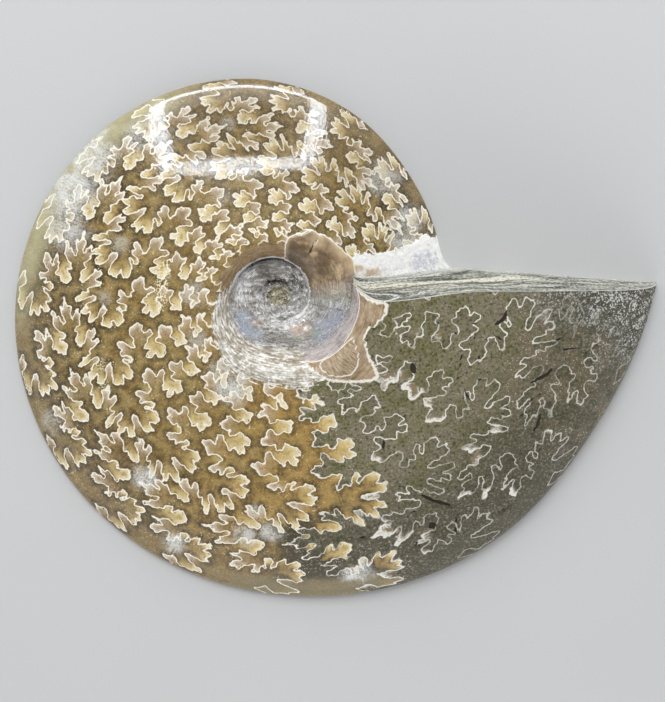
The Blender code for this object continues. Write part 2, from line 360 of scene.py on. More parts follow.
@dataclass(frozen=True)
class Sutures:
    """The lines where the chamber walls meet the shell, one suture repeated along the last whorl."""

    coil: Coil
    # Where each lateral saddle's tip lies, and how far behind it the lobe reaches, in degrees.
    tips: tuple[float, ...] = (
        20.5, 40.0, 60.7, 79.8, 98.4, 117.6, 137.4, 154.4, 172.8, 190.6, 209.3, 226.5, 244.5, 261.5, 281.2,
        301.0, 319.8, 340.0, 361.1, 381.5,
    )
    reaches: tuple[float, ...] = (
        21.5, 22.2, 22.9, 21.9, 19.6, 20.3, 21.0, 20.3, 20.8, 19.7, 19.7, 18.7, 19.2, 19.4, 20.2, 20.1, 19.3,
        19.1, 19.4, 19.5,
    )
    stone_from: int = 15  # the suture past which the chambers are filled with stone
    usual_reach: float = 19.45
    spacing: float = 0.00012
    reach_mm: float = 3.0  # how far from a line its distance is kept
    earliest: float = -0.2  # no suture is felt behind this turning angle
    behind_degrees: float = -38.0  # a suture is felt from so far behind its tip
    ahead_degrees: float = 6.0
    warp_mm: tuple[float, float] = (0.30, 0.13)
    warp_size_mm: tuple[float, float] = (4.5, 1.0)
    row_shift: float = 0.006
    # Small scallops along the line: their width, depth, and the size of the bends that they follow, in mm.
    frills: tuple[tuple[float, float, float], ...] = ((1.7, 0.34, 1.3), (0.85, 0.26, 0.7))
    frill_lean: float = 0.30  # how far scallops on straight parts bulge ahead
    frill_radius: float = 0.028  # the distance from the axis at which they are full size
    frill_least: float = 0.55  # their size near the axis
    frill_middle: float = 0.62  # the height of a scallop that stays on the line
    full_bend: float = 0.35  # the bend that bears full scallops, as a share of the bends' size
    stride: int = 4  # every so many points, for the angle that a line takes up
    felt: int = 55  # strides to each side
    felt_mm: float = 3.2

    def curve(self, index: int) -> Numbers:
        """Draw one suture.

        Args:
            index: which suture.

        Returns:
            Its closely spaced points in the coil's frame.
        """
        knots = np.array(SUTURE, float)
        behind = np.radians(knots[:, 0] / 10.0) * self.reaches[index] / self.usual_reach
        angle = math.radians(self.tips[index]) + behind
        share = knots[:, 1] / 1000.0
        rows = np.stack([share * 7.0, share * 0.0 + index * 3.7, share * 0.0], axis=-1)
        share = share + self.row_shift * wander(rows * MM, 1.0, 3, 1) * smooth_step(0.19, 0.3, share)
        share = np.clip(share, self.coil.seam, 1.0)
        line = self.rounded(np.stack([angle, share], axis=-1))
        points = self.coil.place(line[:, 0], line[:, 1])
        for amount, size in zip(self.warp_mm, self.warp_size_mm):
            for axis in (0, 1):
                points[:, axis] += amount * MM * wander(points, size, 5 + 7 * index + axis, 2)
        return self.frilled(self.spaced(points), index)

    def frilled(self, points: Numbers, seed: int) -> Numbers:
        """Add small scallops that bulge out of a curve's fingers.

        Args:
            points: the curve.
            seed: another number gives other scallops.

        Returns:
            The scalloped curve.
        """
        for width, depth, bend_mm in self.frills:
            reach = int(3.0 * bend_mm * MM / self.spacing)
            steps = np.arange(-reach, reach + 1) * self.spacing / (bend_mm * MM)
            bell = np.exp(-0.5 * steps**2)
            bell /= bell.sum()
            padded = np.pad(points, ((reach, reach), (0, 0)), mode="edge")
            soft = np.stack([np.convolve(padded[:, axis], bell, "valid") for axis in range(3)], axis=-1)
            ahead = np.gradient(points, axis=0)
            normal = np.stack([-ahead[:, 1], ahead[:, 0], np.zeros(len(points))], axis=-1)
            normal /= np.linalg.norm(normal, axis=1, keepdims=True) + 1e-12
            bend = np.einsum("ij,ij->i", soft - points, normal) / (bend_mm * MM * self.full_bend)
            bend = np.clip(bend, -1.0, 1.0) - self.frill_lean * (1.0 - np.minimum(np.abs(bend), 1.0))
            scale = np.hypot(points[:, 0], points[:, 1]) / self.frill_radius
            scale = np.clip(scale, self.frill_least, 1.0)
            length = np.cumsum(self.spacing / (width * MM * scale))
            slow = wander(np.stack([length * MM, length * 0.0, length * 0.0], axis=-1), 2.5, 40 + seed, 2)
            scallop = np.abs(np.sin(math.pi * (length + 0.8 * slow))) - self.frill_middle
            height = depth * scale * (0.80 + 0.5 * slow) * bend * scallop
            points = self.spaced(points - normal * (height * MM)[:, None])
        return points

    def rounded(self, knots: Numbers) -> Numbers:
        """Draw a Catmull-Rom curve through knots, eight points to a span.

        Args:
            knots: turning angles and shares.

        Returns:
            The curve's points, the same way.
        """
        ends = np.vstack([2 * knots[0] - knots[1], knots, 2 * knots[-1] - knots[-2]])
        t = np.linspace(0.0, 1.0, 9)[:-1, None, None]
        p0, p1, p2, p3 = ends[:-3], ends[1:-2], ends[2:-1], ends[3:]
        bend = (2 * p0 - 5 * p1 + 4 * p2 - p3) * t**2 + (3 * p1 - p0 - 3 * p2 + p3) * t**3
        curve = 0.5 * (2 * p1 + (p2 - p0) * t + bend)
        return np.vstack([curve.transpose(1, 0, 2).reshape(-1, 2), knots[-1:]])

    def spaced(self, points: Numbers) -> Numbers:
        """Return the curve cut into even short steps."""
        length = np.concatenate([[0.0], np.cumsum(np.linalg.norm(np.diff(points, axis=0), axis=1))])
        steps = np.linspace(0.0, length[-1], int(length[-1] / self.spacing))
        return np.stack([np.interp(steps, length, points[:, axis]) for axis in range(3)], axis=-1)

    def measure(self, points: Numbers, normals: Numbers, angles: Numbers) -> tuple[Numbers, ...]:
        """Measure how each point lies to the sutures.

        Args:
            points: places in the coil's frame.
            normals: the surface's normals there.
            angles: their turning angles, below 0 on the whorls that bear no suture.

        Returns:
            The distance in mm to the nearest suture, whose sign changes at every line; how far the line
            folds round the point, times that sign; the distance in mm past the suture where the stone
            starts; and 1 ahead of the nearest line, -1 behind it, times the first sign.
        """
        far = self.reach_mm
        nearest, folded = np.full(len(points), far), np.zeros(len(points))
        turned, lead = np.ones(len(points)), np.ones(len(points))
        stone = np.where(angles < math.radians(self.tips[self.stone_from]), -far, far)
        for index, tip in enumerate(self.tips):
            first, last = math.radians(tip + self.behind_degrees), math.radians(tip + self.ahead_degrees)
            turned[angles >= last] *= -1.0
            near = np.flatnonzero((angles > max(first, self.earliest)) & (angles < last))
            curve = self.curve(index)
            signed, found = self.signed_mm(curve, points[near], angles[near])
            turned[near[signed > 0.0]] *= -1.0
            if index == self.stone_from:
                stone[near] = np.clip(signed, -far, far)
            closer = np.abs(signed) < nearest[near]
            near, signed, found = near[closer], signed[closer], found[closer]
            nearest[near], lead[near] = np.abs(signed), np.sign(signed)
            folded[near] = self.folded(curve, found, points[near], normals[near], np.abs(signed))
        return nearest * turned, folded * turned, stone, lead * turned

    def signed_mm(self, curve: Numbers, points: Numbers, angles: Numbers) -> tuple[Numbers, Numbers]:
        """Measure the distance to one suture.

        Args:
            curve: the suture's points.
            points: places in the coil's frame.
            angles: their turning angles.

        Returns:
            The distance in mm, above 0 ahead of the suture, and the number of the nearest curve point.
        """
        tree = kdtree.KDTree(len(curve))
        for number, point in enumerate(curve.tolist()):
            tree.insert(point, number)
        tree.balance()
        found = np.array([tree.find(point)[1] for point in points.tolist()], int).clip(1, len(curve) - 2)
        before = self.gap(points, curve[found - 1], curve[found] - curve[found - 1])
        after = self.gap(points, curve[found], curve[found + 1] - curve[found])
        distance = np.minimum(before, after) / MM
        return np.where(self.ahead_of(curve, points, angles), distance, -distance), found

    def gap(self, points: Numbers, start: Numbers, along: Numbers) -> Numbers:
        """Return the distance from each point to its own short straight piece."""
        t = np.einsum("ij,ij->i", points - start, along) / (np.einsum("ij,ij->i", along, along) + 1e-18)
        return np.linalg.norm(points - start - np.clip(t, 0.0, 1.0)[:, None] * along, axis=1)

    def ahead_of(self, curve: Numbers, points: Numbers, angles: Numbers) -> Numbers:
        """Find which points lie ahead of a suture, by how often a turn from them crosses it.

        Args:
            curve: the suture's points.
            points: places.
            angles: their turning angles.

        Returns:
            True where a place lies ahead.
        """
        turned = np.unwrap(np.arctan2(curve[:, 1], curve[:, 0]))
        middle = float(np.median(turned))
        usual = float(np.median(angles)) if len(angles) else 0.0
        turned = np.concatenate([turned[:1], turned, turned[-1:]]) + TURN * round((usual - middle) / TURN)
        radii = np.concatenate([[0.0], np.hypot(curve[:, 0], curve[:, 1]), [1.0]])
        own = np.arctan2(points[:, 1], points[:, 0])
        own = own + TURN * np.round((angles - own) / TURN)
        radius = np.hypot(points[:, 0], points[:, 1])
        order = np.argsort(radius)
        sorted_radius, sorted_own = radius[order], own[order]
        low, high = np.minimum(radii[:-1], radii[1:]), np.maximum(radii[:-1], radii[1:])
        first, last = np.searchsorted(sorted_radius, low), np.searchsorted(sorted_radius, high)
        behind = np.zeros(len(points), bool)
        for number in np.flatnonzero(last > first):
            part = slice(first[number], last[number])
            passed = (sorted_radius[part] - radii[number]) / (radii[number + 1] - radii[number])
            at = turned[number] + (turned[number + 1] - turned[number]) * passed
            behind[part] ^= at > sorted_own[part]
        result = np.empty(len(points), bool)
        result[order] = ~behind
        return result

    def folded(self, curve: Numbers, found: Numbers, points: Numbers, normals: Numbers,
               away_mm: Numbers) -> Numbers:
        """Return how far a suture folds round each point: above 0 inside a finger, below 0 outside.

        It is the angle that the near part of the line takes up as the point sees it, less the angle that a
        straight line would take up, as a share of half a turn.

        Args:
            curve: the suture's points.
            found: the number of the curve point nearest to each place.
            points: the places.
            normals: the surface's normals there.
            away_mm: how far off the suture is.

        Returns:
            One number for each place.
        """
        coarse = curve[:: self.stride]
        steps = found[:, None] // self.stride + np.arange(-self.felt, self.felt + 1)[None, :]
        steps = steps.clip(0, len(coarse) - 1)
        apart = coarse[steps] - points[:, None, :]
        first, second = apart[:, :-1], apart[:, 1:]
        across = np.einsum("ijk,ik->ij", np.cross(first, second), normals)
        along = np.einsum("ijk,ijk->ij", first, second)
        weight = np.exp(-((np.linalg.norm(first, axis=2) / MM / self.felt_mm) ** 2))
        taken = np.abs((np.arctan2(across, along) * weight).sum(axis=1)) / math.pi
        straight = np.array([math.erfc(away / self.felt_mm) for away in away_mm])
        return taken - straight


# ---- Shader expressions ----


class Paint:
    """A material's nodes, written as expressions."""

    def __init__(self, name: str) -> None:
        """Start a material with one Principled shader."""
        self.material: Material = bpy.data.materials.new(name)
        self.material.use_nodes = True
        self.tree = self.material.node_tree
        self.shader: Node = self.tree.nodes["Principled BSDF"]

    def node(self, kind: str, settings: dict | None = None, sockets: dict | None = None) -> Node:
        """Add a node.

        Args:
            kind: the node's type, without ShaderNode.
            settings: its properties by name.
            sockets: values or links by input name or number.

        Returns:
            The node.
        """
        added = self.tree.nodes.new("ShaderNode" + kind)
        for name, value in (settings or {}).items():
            setattr(added, name, value)
        for name, value in (sockets or {}).items():
            self.feed(added.inputs[name], value)
        return added

    def feed(self, socket: NodeSocket, value: object) -> None:
        """Link a term or a socket to an input, or set the input's value.

        Args:
            socket: the input.
            value: a term, a socket or a plain value.
        """
        if isinstance(value, Term):
            value = value.socket
        if isinstance(value, NodeSocket):
            self.tree.links.new(value, socket)
        elif isinstance(value, tuple) and len(value) == 3 and socket.type == "RGBA":
            socket.default_value = (*value, 1.0)
        else:
            socket.default_value = value

    def attribute(self, name: str) -> tuple["Term", "Term", "Term"]:
        """Return the three numbers of a vector attribute."""
        read = self.node("Attribute", {"attribute_name": name})
        parts = self.node("SeparateXYZ", sockets={0: read.outputs["Vector"]})
        return tuple(Term(self, parts.outputs[axis]) for axis in range(3))

    def place(self) -> NodeSocket:
        """Return the place on the object, in metres."""
        return self.node("TexCoord").outputs["Object"]

    def vector(self, x: object, y: object, z: object) -> NodeSocket:
        """Return a vector of three terms or numbers."""
        return self.node("CombineXYZ", sockets={0: x, 1: y, 2: z}).outputs[0]

    def noise(self, vector: NodeSocket, scale: float, detail: float = 3.0, rough: float = 0.55) -> "Term":
        """Return noise from 0 to 1 with so many lumps in a unit."""
        sockets = {"Vector": vector, "Scale": scale, "Detail": detail, "Roughness": rough}
        return Term(self, self.node("TexNoise", sockets=sockets).outputs[0])

    def cells(self, vector: NodeSocket, scale: float, feature: str = "F1") -> Node:
        """Return a Voronoi node: its cells are grains."""
        return self.node("TexVoronoi", {"feature": feature}, {"Vector": vector, "Scale": scale})

    def mixed(self, share: object, first: object, second: object) -> NodeSocket:
        """Return the colour that lies this share of the way from first to second."""
        added = self.node("Mix", {"data_type": "RGBA"}, {0: share, 6: first, 7: second})
        return added.outputs[2]

    def ramp(self, share: "Term", stops: tuple[tuple[float, Colour], ...]) -> NodeSocket:
        """Return the colour at a share along a row of stops.

        Args:
            share: where on the row.
            stops: places from 0 to 1 and their colours.

        Returns:
            The colour.
        """
        added = self.node("ValToRGB", sockets={0: share})
        elements = added.color_ramp.elements
        while len(elements) < len(stops):
            elements.new(0.5)
        for element, (at, colour) in zip(elements, stops):
            element.position = at
            element.color = (*colour, 1.0)
        return added.outputs[0]

    def bump(self, height: "Term", depth_mm: float) -> None:
        """Raise the surface by up to depth_mm where height is 1."""
        sockets = {"Height": height, "Distance": depth_mm * MM, "Strength": 1.0}
        self.feed(self.shader.inputs["Normal"], self.node("Bump", sockets=sockets).outputs[0])

    def set(self, **values: object) -> None:
        """Set the shader's inputs, with spaces written as underscores."""
        for name, value in values.items():
            self.feed(self.shader.inputs[name.replace("_", " ")], value)


def sum_with(operation: str) -> Callable[["Term", object], "Term"]:
    """Make an operator of terms.

    Args:
        operation: what its Math node does.

    Returns:
        The operator, between a term and another value.
    """

    def operator(term: "Term", other: object) -> "Term":
        """Add the node."""
        return term.math(operation, other)

    return operator


class Term:
    """A number that varies over the surface. Sums on it add Math nodes."""

    def __init__(self, paint: Paint, socket: NodeSocket) -> None:
        """Wrap a socket of a paint's nodes."""
        self.paint = paint
        self.socket = socket

    def math(self, operation: str, *values: object) -> "Term":
        """Return the result of a Math node on this term and other values."""
        sockets = dict(enumerate((self, *values)))
        return Term(self.paint, self.paint.node("Math", {"operation": operation}, sockets).outputs[0])

    __add__ = __radd__ = sum_with("ADD")
    __mul__ = __rmul__ = sum_with("MULTIPLY")
    __sub__ = sum_with("SUBTRACT")
    __truediv__ = sum_with("DIVIDE")
    __pow__ = sum_with("POWER")

    def __rsub__(self, other: float) -> "Term":
        """Subtract from a number."""
        return self * -1.0 + other

    def __neg__(self) -> "Term":
        """Turn the sign."""
        return self * -1.0

    def size(self) -> "Term":
        """Return the value without its sign."""
        return self.math("ABSOLUTE")

    def rise(self, start: float, end: float) -> "Term":
        """Rise smoothly from 0 at start to 1 at end; start may be the greater.

        Args:
            start: where it is 0.
            end: where it is 1.

        Returns:
            The risen term.
        """
        settings = {"interpolation_type": "SMOOTHSTEP"}
        if start < end:
            sockets = {"Value": self, "From Min": start, "From Max": end}
        else:
            sockets = {"Value": self, "From Min": end, "From Max": start, "To Min": 1.0, "To Max": 0.0}
        return Term(self.paint, self.paint.node("MapRange", settings, sockets).outputs[0])


# ---- Where each kind of surface lies ----


@dataclass
class Surface:
    """What is known of each point of the fossil's mesh."""

    coil: Coil
    points: Numbers  # in the coil's frame, in metres
    normals: Numbers
    angle: Numbers  # turning angle
    share: Numbers
    worn: dict[str, tuple[Numbers, ...]] = field(default_factory=dict)
    lead: Numbers | None = None  # which side of the nearest suture each point lies on

    @property
    def degrees(self) -> Numbers:
        """Each point's turning angle in degrees."""
        return np.degrees(self.angle)

    @property
    def turned(self) -> Numbers:
        """The share of its own turn that each point lies at."""
        return self.angle / TURN - np.floor(self.angle / TURN)


# A knot is a turning angle in degrees and a share of the keel radius.
Knots = tuple[tuple[float, float], ...]
# A patch is a knot, a radius in mm and a strength.
Patch = tuple[float, float, float, float]


@dataclass(frozen=True)
class Outline:
    """A closed edge on the shell, such as that of a piece of shell left on it."""

    knots: Knots
    far_mm: float = 2.5
    cuts: int = 10
    near_degrees: float = 15.0  # the edge is felt so far past its knots
    near_share: float = 0.15

    def line(self, coil: Coil) -> Numbers:
        """Draw the edge.

        Args:
            coil: the coil that it is on.

        Returns:
            Closely spaced points along it, in the coil's frame.
        """
        knots = np.array((*self.knots, self.knots[0]))
        steps = np.linspace(0.0, len(knots) - 1.0, (len(knots) - 1) * self.cuts + 1)
        angle = np.interp(steps, np.arange(len(knots)), np.radians(knots[:, 0]))
        share = np.interp(steps, np.arange(len(knots)), knots[:, 1])
        return coil.place(angle, share)

    def holds(self, degrees: Numbers, share: Numbers) -> Numbers:
        """Return which places lie inside the edge.

        Args:
            degrees: turning angles.
            share: shares.

        Returns:
            True inside.
        """
        inside = np.zeros(len(degrees), bool)
        for (a0, s0), (a1, s1) in zip(self.knots, (*self.knots[1:], self.knots[0])):
            if a0 == a1:
                continue
            spans = (degrees < a0) != (degrees < a1)
            inside ^= spans & (share < s0 + (s1 - s0) * (degrees - a0) / (a1 - a0))
        return inside

    def inside_mm(self, surface: Surface) -> Numbers:
        """Measure the distance in mm to the edge, above 0 inside it.

        Args:
            surface: the places.

        Returns:
            The distances.
        """
        degrees = surface.degrees
        knots = np.array(self.knots)
        low, high = knots.min(axis=0), knots.max(axis=0)
        near = (degrees > low[0] - self.near_degrees) & (degrees < high[0] + self.near_degrees)
        near &= (surface.share > low[1] - self.near_share) & (surface.share < high[1] + self.near_share)
        near = np.flatnonzero(near)
        line = self.line(surface.coil)
        tree = kdtree.KDTree(len(line))
        for number, point in enumerate(line.tolist()):
            tree.insert(point, number)
        tree.balance()
        away = np.array([tree.find(point)[2] for point in surface.points[near].tolist()]) / MM
        side = np.where(self.holds(degrees[near], surface.share[near]), 1.0, -1.0)
        found = np.full(len(degrees), -self.far_mm)
        found[near] = np.clip(away * side, -self.far_mm, self.far_mm)
        return found


@dataclass(frozen=True)
class Slit:
    """A dark gash or crack: a line with a half width in mm."""

    half_mm: float
    knots: Knots
    far_mm: float = 9.0
    near: float = 0.016
    end_width: float = 0.45  # at its ends, as a share of its full width

    def inside_mm(self, surface: Surface) -> Numbers:
        """Measure the distance in mm to the gash's edge, above 0 inside it.

        Args:
            surface: the places.

        Returns:
            The distances.
        """
        knots = np.array(self.knots)
        line = surface.coil.place(np.radians(knots[:, 0]), knots[:, 1])
        away = np.full(len(surface.points), self.far_mm)
        near = np.linalg.norm(surface.points - line.mean(axis=0), axis=1) < self.near
        points = surface.points[near]
        for number, (start, end) in enumerate(zip(line[:-1], line[1:])):
            along = end - start
            t = np.clip((points - start) @ along / (along @ along), 0.0, 1.0)
            gap = np.linalg.norm(points - start - t[:, None] * along, axis=1) / MM
            passed = (number + t) / (len(line) - 1)
            full = np.sqrt(1.0 - (2.0 * passed - 1.0) ** 2)
            thick = self.half_mm * mix(self.end_width, 1.0, full)
            away[near] = np.minimum(away[near], gap + self.half_mm - thick)
        return self.half_mm - away


@dataclass(frozen=True)
class Patches:
    """Ragged round patches on the shell."""

    seed: int
    soft: float  # how wide their edges fade, as a share of the radius
    patches: tuple[Patch, ...]
    ragged_mm: float = 2.2
    ragged: float = 0.35

    def strength(self, surface: Surface) -> Numbers:
        """Measure how strongly each point lies in them.

        Args:
            surface: the points.

        Returns:
            One number from 0 to 1 for each point.
        """
        ragged = self.ragged * wander(surface.points, self.ragged_mm, self.seed, 3)
        found = np.zeros(len(surface.points))
        for degrees, share, radius, strength in self.patches:
            centre = surface.coil.place(np.radians(degrees), np.array(share))
            away = np.linalg.norm(surface.points - centre, axis=1) / MM / radius + ragged
            fading = smooth_step(1.0 - self.soft, 1.0 + self.soft, away)
            found = np.maximum(found, strength * (1.0 - fading))
        return found


@dataclass(frozen=True)
class Zones:
    """Which parts of the shell are broken shell, calcite, crust, gashes or patches of colour, and where light
    and shade are painted.
    """

    # Brown shell left on the umbilical shoulder.
    amber: Outline = Outline((
        (81.5, 0.15), (80.4, 0.216), (82, 0.269), (80, 0.307), (74, 0.337), (69, 0.355), (66, 0.382),
        (62.7, 0.397), (58.3, 0.397), (54, 0.412), (48, 0.423), (41, 0.434), (34, 0.449), (29, 0.471),
        (25, 0.475), (21, 0.468), (14, 0.47), (-12, 0.47), (-12, 0.15),
    ))
    # The smooth brown band beside the seam, before the first folds.
    band: Outline = Outline((
        (78, 0.15), (80, 0.268), (90, 0.274), (105, 0.268), (125, 0.256), (145, 0.248), (162, 0.238),
        (176, 0.22), (188, 0.2), (192, 0.15),
    ))
    # The pink-grey lining on the steep wall.
    lining: Outline = Outline((
        (280, 0.15), (283, 0.19), (290, 0.203), (297, 0.213), (306, 0.2165), (316, 0.217), (326, 0.217),
        (336, 0.216), (345, 0.213), (355, 0.212), (364, 0.206), (370, 0.198), (372, 0.15),
    ))
    # Shell on the shoulder beside it, and on that the fan with growth lines.
    tan: Outline = Outline((
        (373, 0.15), (371, 0.196), (366.5, 0.205), (363, 0.222), (361, 0.24), (360.7, 0.262),
        (359, 0.273), (354.6, 0.274), (351, 0.265), (345.7, 0.25), (340, 0.247), (335.5, 0.254),
        (331.5, 0.273), (328.5, 0.291), (326.5, 0.314), (323.6, 0.342), (319.7, 0.335), (315, 0.312),
        (308.6, 0.286), (301.8, 0.26), (297, 0.238), (294, 0.218), (293, 0.15),
    ))
    fan: Outline = Outline((
        (303.5, 0.222), (309, 0.218), (315.5, 0.217), (320, 0.219), (325, 0.221), (331, 0.222),
        (335, 0.226), (332.5, 0.237), (327.5, 0.26), (321.5, 0.281), (315.7, 0.288), (310.7, 0.275),
        (306, 0.256), (302.3, 0.235),
    ))
    # White crust beside the seam at the foot of the coil.
    crust: Outline = Outline((
        (164, 0.15), (170, 0.218), (184, 0.24), (200, 0.258), (221, 0.272), (238, 0.277), (261, 0.275),
        (282, 0.276), (294, 0.27), (301, 0.256), (296.5, 0.236), (293.5, 0.218), (292.5, 0.15),
    ))
    # White calcite in the corner above the aperture face.
    calcite: Outline = Outline((
        (26, 0.47), (30, 0.5), (26.6, 0.56), (24, 0.61), (22.6, 0.66), (22.2, 0.7), (21.6, 0.76),
        (21.2, 0.84), (21.6, 0.885), (22.6, 0.915), (22.6, 0.94), (20.6, 0.962), (20, 1.03), (-6, 1.03),
        (-6, 0.455), (18, 0.455),
    ))
    # Gashes in the stone, and the crack in the brown shell.
    slits: tuple[Slit, ...] = (
        Slit(0.45, ((357.6, 0.588), (356.5, 0.587), (355.1, 0.583), (353.7, 0.565))),
        Slit(0.23, ((354.2, 0.492), (353.4, 0.513))),
        Slit(0.28, ((353.2, 0.416), (351.8, 0.412))),
        Slit(0.21, ((349.9, 0.462), (349.9, 0.477))),
        Slit(0.21, ((348.3, 0.513), (349.7, 0.522), (351.1, 0.526))),
        Slit(0.16, ((344, 0.505), (341, 0.513), (338, 0.522), (335, 0.536))),
        Slit(0.74, ((335.4, 0.398), (334, 0.406), (332.3, 0.416))),
        Slit(0.25, ((338.3, 0.582), (338.9, 0.596))),
        Slit(0.25, ((341.1, 0.597), (341.2, 0.604))),
        Slit(0.3, ((334.4, 0.566), (333.2, 0.582), (332.3, 0.603))),
        Slit(0.26, ((345.1, 0.552), (343.6, 0.556))),
        Slit(0.25, ((350.7, 0.577), (349.9, 0.599))),
        Slit(0.26, ((317.2, 0.484), (318, 0.478))),
        Slit(0.18, ((344.8, 0.438), (344.8, 0.454))),
        Slit(0.28, ((331.3, 0.337), (334.3, 0.344))),
        Slit(0.45, ((341.6, 0.745), (343.3, 0.765), (344.2, 0.778), (345.6, 0.78))),
        Slit(0.28, ((337.4, 0.769), (338.8, 0.778), (340.2, 0.791))),
        Slit(0.23, ((333.7, 0.769), (335.9, 0.787))),
        Slit(0.49, ((336, 0.82), (334.2, 0.832), (332.4, 0.834))),
        Slit(0.23, ((349.8, 0.787), (350.4, 0.821))),
        Slit(0.21, ((349.6, 0.851), (351.7, 0.876))),
        Slit(0.21, ((348.3, 0.804), (347.5, 0.812))),
        Slit(0.23, ((351.4, 0.757), (352, 0.77))),
        Slit(0.43, ((305.8, 0.728), (307.4, 0.769), (309.6, 0.812))),
        Slit(0.25, ((309.3, 0.842), (307.7, 0.872))),
        Slit(0.86, ((303.2, 0.838), (304.4, 0.834))),
        Slit(0.3, ((301.5, 0.763), (303, 0.771))),
        Slit(0.16, ((314.2, 0.91), (316.4, 0.927), (317.9, 0.932))),
        Slit(0.16, ((283.5, 0.78), (287.5, 0.791), (290.6, 0.796))),
        Slit(0.45, ((307.2, 0.878), (306.8, 0.896))),
        Slit(0.16, ((300.6, 0.654), (304.1, 0.676))),
        Slit(0.28, ((307, 0.509), (305, 0.535))),
        Slit(0.28, ((300.5, 0.855), (298, 0.88))),
        Slit(0.17, (
            (64.5, 0.434), (62.3, 0.423), (59.4, 0.404), (57.4, 0.4), (56.4, 0.37), (57.2, 0.344),
            (55.6, 0.31), (54.8, 0.28), (53.6, 0.255),
        )),
    )
    # White clouds in the golden crystal.
    clouds: Patches = Patches(23, 0.6, (
        (153, 0.93, 5.6, 1), (143, 0.96, 5.6, 0.9), (162, 0.87, 4.4, 0.8), (131, 0.88, 3.4, 0.6),
        (233.5, 0.77, 2.6, 0.9), (243, 0.33, 3.4, 0.9), (232, 0.31, 2.6, 0.7), (262, 0.79, 2.6, 0.8),
        (268, 0.76, 2.4, 0.8), (247, 0.91, 2.6, 0.9), (285.5, 0.905, 3.2, 1), (292, 0.8, 3, 0.6),
        (205, 0.33, 2.2, 0.5), (264, 0.7, 1.6, 0.6), (176, 0.33, 2.4, 0.5), (209, 0.94, 2.6, 0.5),
        (106, 0.8, 1.6, 0.5), (30, 0.87, 3.2, 0.8), (48, 0.86, 3.6, 0.7), (24, 0.8, 3, 0.8),
        (118, 0.52, 1.8, 0.3), (161, 0.655, 2, 0.45), (180, 0.66, 1.6, 0.4),
    ))
    # Painted glints: where the crystals catch the light.
    glints: Patches = Patches(34, 0.5, (
        (164, 0.475, 1.1, 0.8), (167.5, 0.468, 1.4, 1), (171.5, 0.463, 1.4, 1), (175.5, 0.458, 1.4, 1),
        (180, 0.455, 1.3, 0.9), (184, 0.45, 1, 0.7), (201, 0.69, 1.6, 0.6), (207, 0.7, 1.4, 0.5),
    ))
    # Where the fingers are filled with white.
    fills: Patches = Patches(24, 0.35, (
        (325.3, 0.374, 1.8, 1), (328.4, 0.389, 1.4, 1), (327.2, 0.416, 1.8, 1), (326, 0.449, 1.8, 1),
        (325.8, 0.501, 1.1, 1), (321.8, 0.552, 1.5, 1), (323.8, 0.577, 1.5, 1), (327, 0.641, 1.4, 1),
        (347.5, 0.637, 1.4, 1), (328.8, 0.727, 1.2, 0.9), (333.3, 0.684, 1, 0.9), (348.9, 0.359, 1, 0.8),
        (349, 0.427, 1.1, 0.8), (320.7, 0.723, 2.2, 1), (311.5, 0.825, 1.8, 1), (313, 0.821, 1.4, 1),
        (316.6, 0.855, 1.4, 1), (319.4, 0.893, 1.4, 1), (319.3, 0.927, 1.5, 1), (293.4, 0.769, 2.2, 0.9),
        (291.8, 0.816, 2.4, 0.9), (294.7, 0.808, 2.4, 0.9), (296.1, 0.851, 2.2, 0.8),
        (298.3, 0.846, 2, 0.7), (301.2, 0.851, 1.8, 0.6), (286.4, 0.889, 2.6, 0.9), (287, 0.94, 3, 0.9),
        (290.8, 0.902, 2.6, 0.9), (290, 0.966, 3, 0.9), (293, 0.915, 2.2, 0.8), (301.4, 0.552, 1.2, 0.8),
        (299.5, 0.919, 1.4, 0.7), (302.5, 0.932, 1.6, 0.7), (342.8, 0.936, 1.5, 0.8),
        (334.8, 0.876, 1.5, 0.9), (353.6, 0.748, 1.2, 0.7), (294, 0.66, 3, 0.8), (296.5, 0.64, 2, 0.8),
        (292.5, 0.7, 2.6, 0.6), (297, 0.43, 1.6, 0.6), (294, 0.35, 2, 0.7), (289, 0.32, 2.4, 0.6),
        (337, 0.87, 1.4, 0.6), (357, 0.69, 1.4, 0.5),
    ))
    # The nacre's play of colour, and the pale crumbs on it.
    blues: Patches = Patches(21, 0.6, (
        (-148, 0.365, 1.6, 0.9), (-135, 0.385, 2, 1), (-122, 0.4, 2.2, 1), (-108, 0.41, 1.4, 0.6),
        (-40, 0.375, 2.4, 0.9), (-28, 0.37, 2.6, 0.9), (-16, 0.39, 2, 0.7),
    ))
    warms: Patches = Patches(22, 0.6, (
        (-52, 0.285, 1.3, 1), (-60, 0.275, 1.4, 1), (-126, 0.3, 1.2, 0.8), (-66, 0.28, 1, 0.6),
    ))
    greens: Patches = Patches(28, 0.6, (
        (-47, 0.33, 1.8, 0.8), (-62, 0.335, 1.6, 0.6), (0, 0.36, 2.6, 0.6),
    ))
    pale_arcs: Patches = Patches(26, 0.5, (
        (-222, 0.365, 1.1, 1), (-213, 0.372, 1.1, 1), (-205, 0.34, 1, 1), (-196, 0.33, 1.6, 1),
        (-186, 0.335, 1.6, 1), (-176, 0.345, 1.5, 1), (-166, 0.35, 1.2, 0.7), (-318, 0.4, 1.4, 0.8),
        (-332, 0.42, 1.4, 0.8), (-345, 0.43, 1.4, 0.7), (-48, 0.3, 1, 0.7), (-22, 0.295, 0.9, 0.6),
        (6, 0.335, 0.7, 0.8), (14, 0.315, 0.7, 0.8), (-100, 0.262, 1, 0.9), (-80, 0.26, 1, 0.9),
        (-115, 0.27, 0.8, 0.7),
    ))
